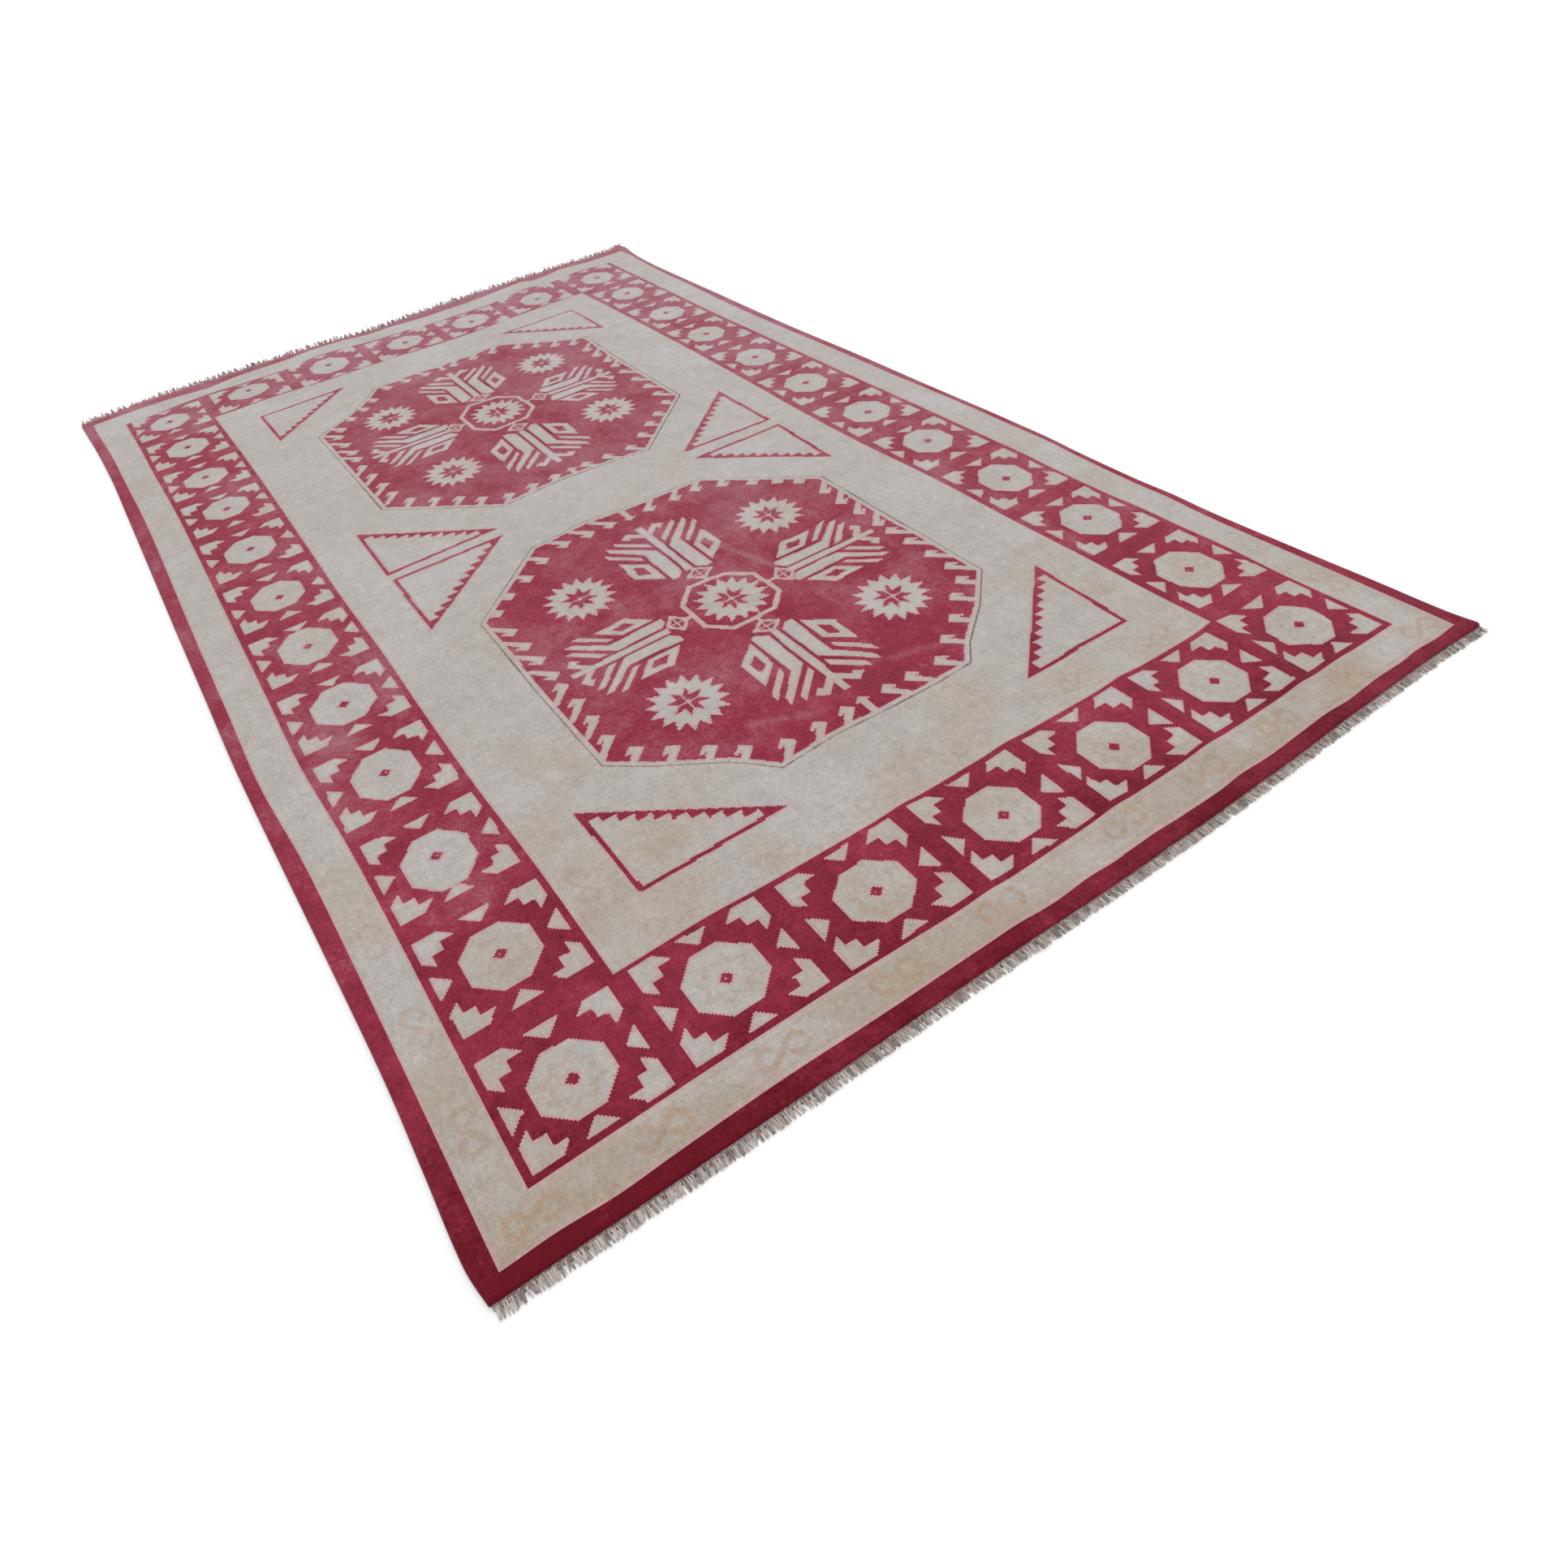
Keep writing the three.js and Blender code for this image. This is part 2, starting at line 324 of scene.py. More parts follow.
# Low ridges left by rolling and walking: place, which way each runs (degrees from +Y towards
# +X), how far it reaches along and across, and its height.
RIDGES = [
    {"x": -100, "y": -1315, "turn": 4, "long": 170, "wide": 26, "high": 5.1},
    {"x": 122, "y": -1330, "turn": -6, "long": 150, "wide": 30, "high": 5.8},
    {"x": 340, "y": -1310, "turn": 8, "long": 170, "wide": 34, "high": 6.1},
    {"x": 560, "y": -1280, "turn": 10, "long": 190, "wide": 30, "high": 6.7},
    {"x": 700, "y": -1230, "turn": 22, "long": 220, "wide": 34, "high": 5.8},
    {"x": 250, "y": -760, "turn": 62, "long": 240, "wide": 55, "high": 2.4},
    {"x": -120, "y": -560, "turn": 30, "long": 260, "wide": 60, "high": 2.0},
    {"x": 430, "y": -420, "turn": -20, "long": 300, "wide": 55, "high": 2.2},
    {"x": 820, "y": -900, "turn": 80, "long": 90, "wide": 60, "high": 2.6},
    {"x": 815, "y": -560, "turn": 84, "long": 90, "wide": 70, "high": 2.2},
    {"x": 120, "y": 560, "turn": 16, "long": 380, "wide": 70, "high": 1.4},
    {"x": 520, "y": 700, "turn": -12, "long": 360, "wide": 70, "high": 1.4},
    {"x": -420, "y": 350, "turn": 24, "long": 320, "wide": 80, "high": 2.0},
    {"x": -620, "y": 1400, "turn": 6, "long": 150, "wide": 60, "high": 1.1},
    {"x": -230, "y": 1420, "turn": -4, "long": 170, "wide": 50, "high": 1.7},
    {"x": -150, "y": 1440, "turn": 3, "long": 120, "wide": 60, "high": 1.5},
    {"x": 386, "y": 1430, "turn": 5, "long": 150, "wide": 42, "high": 1.5},
    {"x": 480, "y": 1420, "turn": -3, "long": 160, "wide": 34, "high": 1.9},
    {"x": 640, "y": 1430, "turn": 4, "long": 160, "wide": 50, "high": 1.9},
    {"x": 850, "y": 1440, "turn": -20, "long": 120, "wide": 60, "high": 1.7},
    {"x": -30, "y": -390, "turn": 60, "long": 75, "wide": 9, "high": 1.6},
    {"x": 175, "y": -800, "turn": 72, "long": 80, "wide": 10, "high": 1.6},
    {"x": 30, "y": -800, "turn": 66, "long": 55, "wide": 10, "high": 1.3},
]
LIFT_MOST = 8.0


def lift(x, y):
    """How far the carpet is off the floor: the sum of the ridges, each its height times
    exp(-(along/long)^2 - (across/wide)^2), kept within its limits."""
    total = np.zeros_like(x)
    for ridge in RIDGES:
        turn = math.radians(ridge["turn"])
        dx, dy = x - ridge["x"], y - ridge["y"]
        along = (dx * math.sin(turn) + dy * math.cos(turn)) / ridge["long"]
        across = (dx * math.cos(turn) - dy * math.sin(turn)) / ridge["wide"]
        total += ridge["high"] * np.exp(-along * along - across * across)
    return np.clip(total, 0, LIFT_MOST)


def knot_mean(values):
    """The value at each knot's middle, from the values at its four corners."""
    return (values[:-1, :-1] + values[:-1, 1:] + values[1:, :-1] + values[1:, 1:]) / 4


columns = knot_lines(LOOM_WIDTH)
rows = knot_lines(PILE_LENGTH)
FROM_LEFT, FROM_NEAR = np.meshgrid(columns, rows)
squeezed_left, squeezed_near, INWARD = worn_corners(FROM_LEFT, FROM_NEAR)
POINT_X, POINT_Y = on_the_floor(squeezed_left, squeezed_near)
LIFT = lift(POINT_X, POINT_Y)
ROUND = np.sqrt(1 - (1 - np.minimum(INWARD / EDGE_ROUND, 1)) ** 2)
POINT_Z = LIFT + EDGE_FOOT + (PILE_TOP - EDGE_FOOT) * ROUND
X, Y = knot_mean(POINT_X), knot_mean(POINT_Y)
print("knots", X.shape, "highest point", round(float(POINT_Z.max()), 2), "mm")

# %% [markdown]
# ## Charting with distances
#
# A weaver counts knots from a chart. Here the chart is a set of small shapes, and each gives
# the distance from any knot to its outline, positive inside. The larger of two distances joins
# two shapes and the smaller keeps what they share, so cream motifs are added with the larger
# and red ones are cut out with the smaller. Only a motif's own neighbourhood is worked out.

# %% Shapes for the chart
def path_distance(x, y, path):
    """Distance to an open path: the least to any of its straight runs. The nearest place on a
    run is the share of the way along it, kept between 0 and 1."""
    least = np.full(np.shape(x), np.inf)
    for (ax, ay), (bx, by) in zip(path[:-1], path[1:]):
        ex, ey = bx - ax, by - ay
        wx, wy = x - ax, y - ay
        share = np.clip((wx * ex + wy * ey) / (ex * ex + ey * ey), 0, 1)
        least = np.minimum(least, (wx - share * ex) ** 2 + (wy - share * ey) ** 2)
    return np.sqrt(least)


def polygon(x, y, corners):
    """Distance to a closed outline, positive inside. A place is inside when an odd number of
    edges lies to the right of it."""
    closed = np.asarray([*corners, corners[0]], float)
    inside = np.zeros(np.shape(x), bool)
    for (ax, ay), (bx, by) in zip(closed[:-1], closed[1:]):
        if ay != by:
            crossed = (x - ax) < (bx - ax) * (y - ay) / (by - ay)
            inside ^= ((ay > y) != (by > y)) & crossed
    return np.where(inside, 1, -1) * path_distance(x, y, closed)


def star_outline(count, outer, inner, first_turn=0.0, tall=1.0):
    """A star's outline: points and notches in turn, evenly round, stretched upwards by tall."""
    turns = first_turn + np.arange(2 * count) * math.pi / count
    radii = np.where(np.arange(2 * count) % 2 == 0, outer, inner)
    return np.stack([radii * np.sin(turns), tall * radii * np.cos(turns)], axis=1)


FAR_OFF = 400.0
THIN_REACH = 5.0
# How far each motif can reach from its middle, across and along: only the knots so near are
# worked out.
REACH = {
    "medallion": (470, 560), "rosette": (84, 84), "link": (46, 46), "leaf": (155, 155),
    "hook": (64, 64), "upright": (30, 50), "ring": (140, 140), "triangle": (230, 230),
    "scroll": (48, 48), "star": (50, 50),
}
CREAM = np.full(X.shape, -FAR_OFF)  # how deep in cream wool
THIN = np.zeros(X.shape)  # 1 on a thin dark line, falling to 0 at THIN_REACH from it
GHOST = np.full(X.shape, -FAR_OFF)  # how deep in the faded drawing


def near_to(x, y, reach_x, reach_y):
    """Which knots lie within reach of a place."""
    return np.nonzero((np.abs(X - x) < reach_x) & (np.abs(Y - y) < reach_y))


def knot_in(spots, depth):
    """Cream wool joins what is there."""
    CREAM[spots] = np.maximum(CREAM[spots], depth)


def knot_out(spots, depth):
    """Red wool takes the place of what is there."""
    CREAM[spots] = np.minimum(CREAM[spots], -depth)


def dark_line(spots, distance, shown=True, strength=1.0):
    """A thin dark line: one less the share of its reach that the distance takes up."""
    nearness = np.where(shown, strength * np.clip(1 - np.abs(distance) / THIN_REACH, 0, 1), 0)
    THIN[spots] = np.maximum(THIN[spots], nearness)


square = [(-5, -5), (5, -5), (5, 5), (-5, 5)]
print("depth in the middle of a 10 mm square", polygon(np.zeros(1), np.zeros(1), square))

# %% [markdown]
# ## Guards and border
#
# From the edge inwards there is a red guard, a cream guard and the broad red border, and then
# the cream field. Each line between them runs along the grid, so it has no steps however the
# carpet bends. A knot's depth inside a ring is its least distance to the ring's
# four lines.

# %% Guards and border
def depth_inside(ring):
    """How deep each knot is inside a ring of lines: its least distance to the four of them,
    counted along the rows and columns."""
    left, right = SIDE_COUNTS["left_" + ring], SIDE_COUNTS["right_" + ring]
    near, far = END_COUNTS["near_" + ring], END_COUNTS["far_" + ring]
    across, along = knot_mean(FROM_LEFT), knot_mean(FROM_NEAR)
    return np.minimum(
        np.minimum(across - left, right - across), np.minimum(along - near, far - along)
    )


inside_guard = depth_inside("guard")
inside_outer = depth_inside("outer")
inside_inner = depth_inside("inner")
CREAM[:] = np.maximum(np.minimum(inside_guard, -inside_outer), inside_inner)
print("cream share before the motifs", round(float((CREAM > 0).mean()), 3))

# %% [markdown]
# ## The border's octagons
#
# One cell is repeated round the border: an octagon with a small red diamond in it, four
# stepped crowns in the corners and a triangle in the middle of each side. The weaver drew
# them by eye, so every cell has its own centre. Its four sides are half-way to its
# neighbours, or at the border's lines.

# %% Border cells
CELL_ACROSS = 225.0
CELL_ALONG = 236.0
ACROSS_COUNT = 7
ALONG_COUNT = 12
FIRST_CELL = (-678.5, -1322.0)
# How far each octagon's middle has crept from the even grid, from the near end to the far
# end and from left to right.
CREEP = {
    "left_x": (-2, 2, -1, -2, -2, -3, 0, 1, 3, 0, 1, -4),
    "left_y": (1, 0, -2, 0, -4, -7, -18, 3, 11, -2, -6, -20),
    "right_x": (-10, -2, 3, 2, 0, -2, -6, -3, -7, -1, 1, 3),
    "right_y": (0, -6, 6, -5, 7, -15, 0, 1, 12, 15, 29, 8),
    "near_x": (-2, -3, 8, 10, 6, 7, -10),
    "near_y": (1, 8, -1, -6, -7, -1, 0),
    "far_x": (-4, -1, 10, 16, 4, 6, 3),
    "far_y": (-20, 22, 13, -6, -14, -8, 8),
}
# Half of each octagon's width and height, and how far it sits above or below its dot.
OCTAGONS = {
    "left": {"half_x": (53, 53, 53, 53, 55, 53, 52, 54, 52, 52, 52, 51),
             "half_y": (55, 58, 65, 65, 62, 64, 58, 60, 56, 52, 58, 52),
             "rise": (2, -2, -10, -4, 3, 2, 8, -3, 5, -4, -4, -3)},
    "right": {"half_x": (52, 54, 52, 50, 52, 53, 51, 50, 50, 50, 48, 49),
              "half_y": (53, 61, 62, 62, 59, 58, 58, 59, 56, 55, 55, 56),
              "rise": (0, 1, -7, 4, 0, 6, -1, -2, 0, -5, -3, -2)},
    "near": {"half_x": (53, 56, 55, 53, 52, 51, 52), "half_y": (55, 57, 54, 56, 56, 54, 53),
             "rise": (2, 1, 3, 4, 4, 0, 0)},
    "far": {"half_x": (51, 57, 54, 52, 55, 48, 49), "half_y": (52, 50, 62, 52, 56, 56, 56),
            "rise": (-3, -8, -5, 2, 8, 6, -2)},
}
# Half of the red strip between two cells, and the red frame between them and the border's lines.
STRIP_ACROSS = 15.5
STRIP_ALONG = 21.5
FRAME_SIDE = 12.0
FRAME_NEAR = 9.0
FRAME_FAR = 6.0
OCTAGON_FLAT = {"x": 0.376, "y": 0.416}  # the share of each side that runs straight
# A crown's outline from its corner, and the size of the smallest cell that holds it whole.
CROWN = [(0, 0), (38.5, 0), (57, 20), (34.5, 20), (34.5, 38), (17.5, 38), (17, 60), (0, 43.5)]
CROWN_CELL = {"across": 190.0, "along": 178.0}
SIDE_TRIANGLE = {"half_base": 24.5, "depth": 25.0}
DOT = {"half": 10.5, "heart": 1.9}
CELL_SPARE = 14.0
RIGHT_SHIFT = 2.0
HALF_ROOT = 0.7071  # the depth square to a diamond's side, as a share of that along an axis


def cell(cx, cy, left, right, bottom, top, half_x, half_y, rise):
    """One cell of the border. The octagon sits on its own middle, the crowns and triangles on
    the cell's four sides."""
    spots = near_to((left + right) / 2, (bottom + top) / 2,
                    (right - left) / 2 + CELL_SPARE, (top - bottom) / 2 + CELL_SPARE)
    x, y = X[spots], Y[spots]
    flat_x, flat_y = OCTAGON_FLAT["x"] * half_x, OCTAGON_FLAT["y"] * half_y
    eight = [(-flat_x, half_y), (flat_x, half_y), (half_x, flat_y), (half_x, -flat_y),
             (flat_x, -half_y), (-flat_x, -half_y), (-half_x, -flat_y), (-half_x, flat_y)]
    depth = polygon(x - cx, y - cy - rise, eight)
    from_middle = np.abs(x - cx) + np.abs(y - cy)
    dot = np.minimum(DOT["half"] - from_middle, from_middle - DOT["heart"])
    knot_in(spots, np.minimum(depth, -dot * HALF_ROOT))
    wide = min(1.0, (right - left) / CROWN_CELL["across"])
    tall = min(1.0, (top - bottom) / CROWN_CELL["along"])
    for corner_x, inwards_x in ((left, 1), (right, -1)):
        for corner_y, inwards_y in ((bottom, 1), (top, -1)):
            crown = [(corner_x + inwards_x * a * wide, corner_y + inwards_y * b * tall)
                     for a, b in CROWN]
            knot_in(spots, polygon(x, y, crown))
    base, deep = SIDE_TRIANGLE["half_base"], SIDE_TRIANGLE["depth"]
    for foot_y, inwards in ((bottom, deep), (top, -deep)):
        knot_in(spots, polygon(
            x, y, [(cx - base, foot_y), (cx + base, foot_y), (cx, foot_y + inwards)]))
    for foot_x, inwards in ((left, deep), (right, -deep)):
        knot_in(spots, polygon(
            x, y, [(foot_x, cy - base), (foot_x, cy + base), (foot_x + inwards, cy)]))


def octagon_sizes(side, k):
    return [OCTAGONS[side][name][k] for name in ("half_x", "half_y", "rise")]


def cell_middles(side):
    """The middles of the octagons along one side or end, corners included."""
    column = {"left": 0, "right": ACROSS_COUNT - 1}.get(side, np.arange(ACROSS_COUNT))
    row = {"near": 0, "far": ALONG_COUNT - 1}.get(side, np.arange(ALONG_COUNT))
    xs = FIRST_CELL[0] + CELL_ACROSS * column + np.array(CREEP[side + "_x"])
    ys = FIRST_CELL[1] + CELL_ALONG * row + np.array(CREEP[side + "_y"])
    return xs, ys


def border_side(side):
    """The cells up one long side, corners included."""
    xs, ys = cell_middles(side)
    last = ALONG_COUNT - 1
    for k, (cx, cy) in enumerate(zip(xs, ys)):
        bottom = (cy + ys[k - 1]) / 2 + STRIP_ALONG if k else (
            end_line("near_outer", cx) + FRAME_NEAR)
        top = (cy + ys[k + 1]) / 2 - STRIP_ALONG if k < last else (
            end_line("far_outer", cx) - FRAME_FAR)
        if side == "left":
            left = side_line("left_outer", cy) + FRAME_SIDE
            right = side_line("left_inner", cy) - FRAME_SIDE
        else:
            left = side_line("right_inner", cy) + FRAME_SIDE + RIGHT_SHIFT
            right = side_line("right_outer", cy) - FRAME_SIDE + RIGHT_SHIFT
        if k in (0, last):
            row = cell_middles("far" if k else "near")[0]
            if side == "left":
                right = (row[0] + row[1]) / 2 - STRIP_ACROSS
            else:
                left = (row[-2] + row[-1]) / 2 + STRIP_ACROSS
        cell(cx, cy, left, right, bottom, top, *octagon_sizes(side, k))


def border_end(end, low, high, frame_width):
    """The cells along one end, between the corners and between two lines of the border."""
    xs, ys = cell_middles(end)
    for k in range(1, ACROSS_COUNT - 1):
        left = (xs[k - 1] + xs[k]) / 2 + STRIP_ACROSS
        right = (xs[k] + xs[k + 1]) / 2 - STRIP_ACROSS
        bottom = end_line(low, xs[k]) + frame_width
        top = end_line(high, xs[k]) - frame_width
        cell(xs[k], ys[k], left, right, bottom, top, *octagon_sizes(end, k))


border_side("left")
border_side("right")
border_end("near", "near_outer", "near_inner", FRAME_NEAR)
border_end("far", "far_inner", "far_outer", FRAME_FAR)
print("cream share with the border", round(float((CREAM > 0).mean()), 3))

# %% [markdown]
# ## The two medallions
#
# Each medallion is an octagon with a thin dark line, a cream band and a red ground. Hooks stand
# on the band and lean towards the middle of each side. Inside are five rosettes, the middle
# one in a ring, and four leaves that grow from small diamonds at the ring. The parts are
# placed from the medallion's middle, and mirrored where the weaver mirrored them.

# %% Medallion parts
BAND_WIDTH = 9.0
HOOK = [(0, 1.5), (18, -15.5), (-7, -41), (-22, -58), (-37, -58), (-24.5, -42), (-4, -14.5),
        (-12.5, -19), (-18, -15.5)]
UPRIGHT_MIDDLE = -25.0
UPRIGHT = [(-6.5, -58), (-6.5, -12.5), (-16, -13.5), (0, 3), (17, -13.5), (6.5, -12.5), (6.5, -58)]
ROSETTE = {"points": 16, "outer": 73.0, "notch": 52.0, "tall": 1.07}
PETALS = {"outer": 36.0, "notch": 17.5, "tall": 1.1}
PETAL_COUNT = 8
ROSETTE_HEART = 5.0
ROSETTE_CROSS = 0.32 * KNOT_PITCH  # half of its width
LINK_CROSS = 0.5 * KNOT_PITCH
RING = [(-43, 95), (36, 88), (82, 43), (86, -43), (44, -87), (-49, -90), (-89, -46), (-89, 44)]
RING_WIDTH = 10.5
LINK = {"away": 119.0, "long": 24.0, "wide": 30.5, "line": 6.5, "neck": 4.5}
LEAF_MIDDLE = 240.0
LEAF_STEM = {"half": 8.0, "from": 142.0, "to": 361.0}
# One half of a leaf: how far out from its axis, and how far from the medallion's middle.
LEAF_BLADE = [(15, 147), (32, 131), (45.5, 133), (43.5, 257), (92, 314), (93.5, 335), (14.5, 253)]
LEAF_INNER_FINGER = [(15.5, 269), (69.5, 323), (69.5, 341), (15.5, 288)]
LEAF_LOZENGE = [(53, 145), (101, 188), (98, 263), (53, 218)]
LOZENGE_EYE = [(67, 180), (86.5, 197), (83.5, 228), (66.5, 215)]
LEAF_OUTER_FINGER = [(53, 236), (105.5, 292), (106.5, 312), (53, 252)]
LEAF_ARM = [(6, 312), (31.5, 335.5), (34.5, 326), (51.5, 340), (32, 356), (6, 331)]
LEAF_VEIN = {"out": 11.4, "from": 150.0, "to": 262.0}
BLADE_VEIN = {"out": 49.0, "from": 140.0, "to": 240.0}


def rosette(cx, cy, turn=0.0):
    """A sixteen-pointed rosette with a star of eight red petals, a thin cream cross through it
    and a cream heart."""
    spots = near_to(cx, cy, *REACH["rosette"])
    x, y = X[spots] - cx, Y[spots] - cy
    outline = star_outline(ROSETTE["points"], ROSETTE["outer"], ROSETTE["notch"], turn,
                           ROSETTE["tall"])
    petals = star_outline(PETAL_COUNT, PETALS["outer"], PETALS["notch"], math.pi / PETAL_COUNT,
                          PETALS["tall"])
    star = np.minimum(polygon(x, y, petals), np.hypot(x, y) - ROSETTE_HEART)
    star = np.minimum(star, np.minimum(np.abs(x), np.abs(y)) - ROSETTE_CROSS)
    knot_in(spots, np.minimum(polygon(x, y, outline), -star))


def link(cx, cy, sideways):
    """A small diamond with a thin cream cross in it."""
    wide, long = (LINK["long"], LINK["wide"]) if sideways else (LINK["wide"], LINK["long"])
    spots = near_to(cx, cy, *REACH["link"])
    x, y = X[spots] - cx, Y[spots] - cy
    slope = wide * long / math.hypot(wide, long)
    depth = (1 - np.abs(x) / wide - np.abs(y) / long) * slope
    eye = np.minimum(depth - LINK["line"], np.minimum(np.abs(x), np.abs(y)) - LINK_CROSS)
    CREAM[spots] = np.where(depth > 0, -eye, np.maximum(CREAM[spots], depth))


def leaf(cx, cy, ahead, aside, spread, stretch, start):
    """A leaf that grows from the middle (cx, cy) in the direction ahead, a unit step, with its
    axis moved aside. Both its halves come from one table, since the distance out from the axis
    is taken without its sign."""
    axis_x, axis_y = cx - aside * ahead[1], cy + aside * ahead[0]
    spots = near_to(axis_x + LEAF_MIDDLE * ahead[0], axis_y + LEAF_MIDDLE * ahead[1],
                    *REACH["leaf"])
    dx, dy = X[spots] - axis_x, Y[spots] - axis_y
    along = (dx * ahead[0] + dy * ahead[1] - start) / stretch
    out = np.abs(dx * ahead[1] - dy * ahead[0]) / spread
    blades = np.minimum(LEAF_STEM["half"] - out,
                        np.minimum(along - LEAF_STEM["from"], LEAF_STEM["to"] - along))
    for shape in (LEAF_BLADE, LEAF_INNER_FINGER, LEAF_OUTER_FINGER, LEAF_ARM):
        blades = np.maximum(blades, polygon(out, along, shape))
    lozenge = np.minimum(polygon(out, along, LEAF_LOZENGE), -polygon(out, along, LOZENGE_EYE))
    knot_in(spots, np.maximum(blades, lozenge))
    for vein in (LEAF_VEIN, BLADE_VEIN):
        dark_line(spots, out - vein["out"], (along > vein["from"]) & (along < vein["to"]))


def hook(px, py, mirror_x, mirror_y):
    """A hook with its peak at (px, py). Its stem runs down to the cream band behind it."""
    spots = near_to(px, py, *REACH["hook"])
    x, y = (X[spots] - px) * mirror_x, (Y[spots] - py) * mirror_y
    knot_in(spots, polygon(x, y, HOOK))


print("a rosette is", 2 * ROSETTE["outer"], "mm wide")

# %% Medallions
# For each leaf: how far its axis is moved aside, how wide and long it is beside the table's
# leaf, and how far from the middle it starts.
MEDALLIONS = {
    "near": {
        "middle": (12, -588),
        "outline": [(-180, -1038), (-72, -1031), (42, -1037), (132, -1039), (208, -1035),
                    (245, -991), (330, -922), (410, -839), (408, -332), (215, -137),
                    (120, -131), (42, -130), (-68, -116), (-200, -132), (-394, -322),
                    (-398, -600), (-397, -843), (-333, -900), (-238, -970), (-207, -1003)],
        "leaves": {
            "left": {"aside": 10, "spread": 0.94, "stretch": 0.908, "start": 15},
            "right": {"aside": 4, "spread": 0.94, "stretch": 0.921, "start": 4},
            "near": {"aside": 0, "spread": 1.0, "stretch": 1.0, "start": 0},
            "far": {"aside": 7, "spread": 1.0, "stretch": 1.0, "start": 0},
        },
        "rosettes": [(-220, -209), (220, -205), (-220, 207), (222, 206)],
        "ring_height": 1.0,
    },
    "far": {
        "middle": (20, 564),
        "outline": [(-173, 79), (-116, 86), (-40, 93), (27, 90), (84, 87), (198, 71), (407, 280),
                    (411, 668), (420, 847), (376, 877), (319, 917), (266, 967), (217, 1008),
                    (160, 1012), (120, 1002), (55, 1008), (17, 999), (-7, 1010), (-68, 1012),
                    (-135, 1002), (-173, 1000), (-200, 962), (-222, 936), (-254, 905),
                    (-296, 872), (-344, 837), (-391, 799), (-390, 554), (-391, 278)],
        "leaves": {
            "left": {"aside": 5, "spread": 0.98, "stretch": 0.926, "start": 6},
            "right": {"aside": -5, "spread": 1.02, "stretch": 0.85, "start": 22},
            "near": {"aside": -3, "spread": 1.03, "stretch": 1.057, "start": 3},
            "far": {"aside": 0, "spread": 1.03, "stretch": 1.0, "start": 0},
        },
        "rosettes": [(-214, -230), (214, -214), (-226, 197), (220, 208)],
        "ring_height": 1.12,
    },
}
# How far inside the outline its dark line runs, how far up it grows fainter, and by how much.
OUTLINE = {"inside": 0.5 * KNOT_PITCH, "fainter_past": 260.0, "fainter": 0.93}
# Peaks of the hooks, from the medallion's middle.
HOOKS = {
    "near": {
        "left": [(-373, -186), (-369, -124), (-368, -66), (-371, -7)],
        "far_left": [(-368, 4), (-369, 64), (-370, 122), (-372, 184)],
        "right": [(364, -185), (364, -128), (364, -65), (364, -7)],
        "far_right": [(364, 4), (364, 66), (364, 126), (364, 186)],
        "end": [(-154, -392), (-93, -392), (-37, -392)],
        "end_right": [(50, -392), (99, -392), (163, -392)],
        "far_end": [(-154, 401), (-98, 401), (-46, 401)],
        "far_end_right": [(52, 401), (116, 401), (170, 401)],
        "slant": [(-351, -243), (-304, -282), (-257, -322), (-215, -359)],
        "slant_right": [(347, -235), (305, -269), (261, -317), (209, -353)],
        "far_slant": [(-216, 375), (-270, 335), (-324, 301), (-366, 261)],
        "far_slant_right": [(224, 375), (275, 333), (318, 297), (350, 261)],
    },
    "far": {
        "left": [(-366, -214), (-369, -154), (-373, -86), (-377, -20)],
        "far_left": [(-373, 6), (-369, 52), (-369, 113), (-369, 175)],
        "right": [(350, -214), (356, -151), (356, -86), (356, -15)],
        "far_right": [(360, 8), (362, 57), (358, 118), (356, 175)],
        "end": [(-162, -431), (-103, -429), (-46, -428)],
        "end_right": [(37, -428), (92, -430), (153, -432)],
        "far_end": [(-164, 389), (-107, 393), (-50, 393)],
        "far_end_right": [(36, 393), (97, 393), (154, 389)],
        "slant": [(-345, -275), (-299, -318), (-255, -356), (-216, -399)],
        "slant_right": [(339, -275), (291, -318), (248, -354), (206, -394)],
        "far_slant": [(-223, 336), (-262, 296), (-307, 262), (-350, 216)],
        "far_slant_right": [(222, 362), (265, 324), (306, 284), (350, 250)],
    },
}


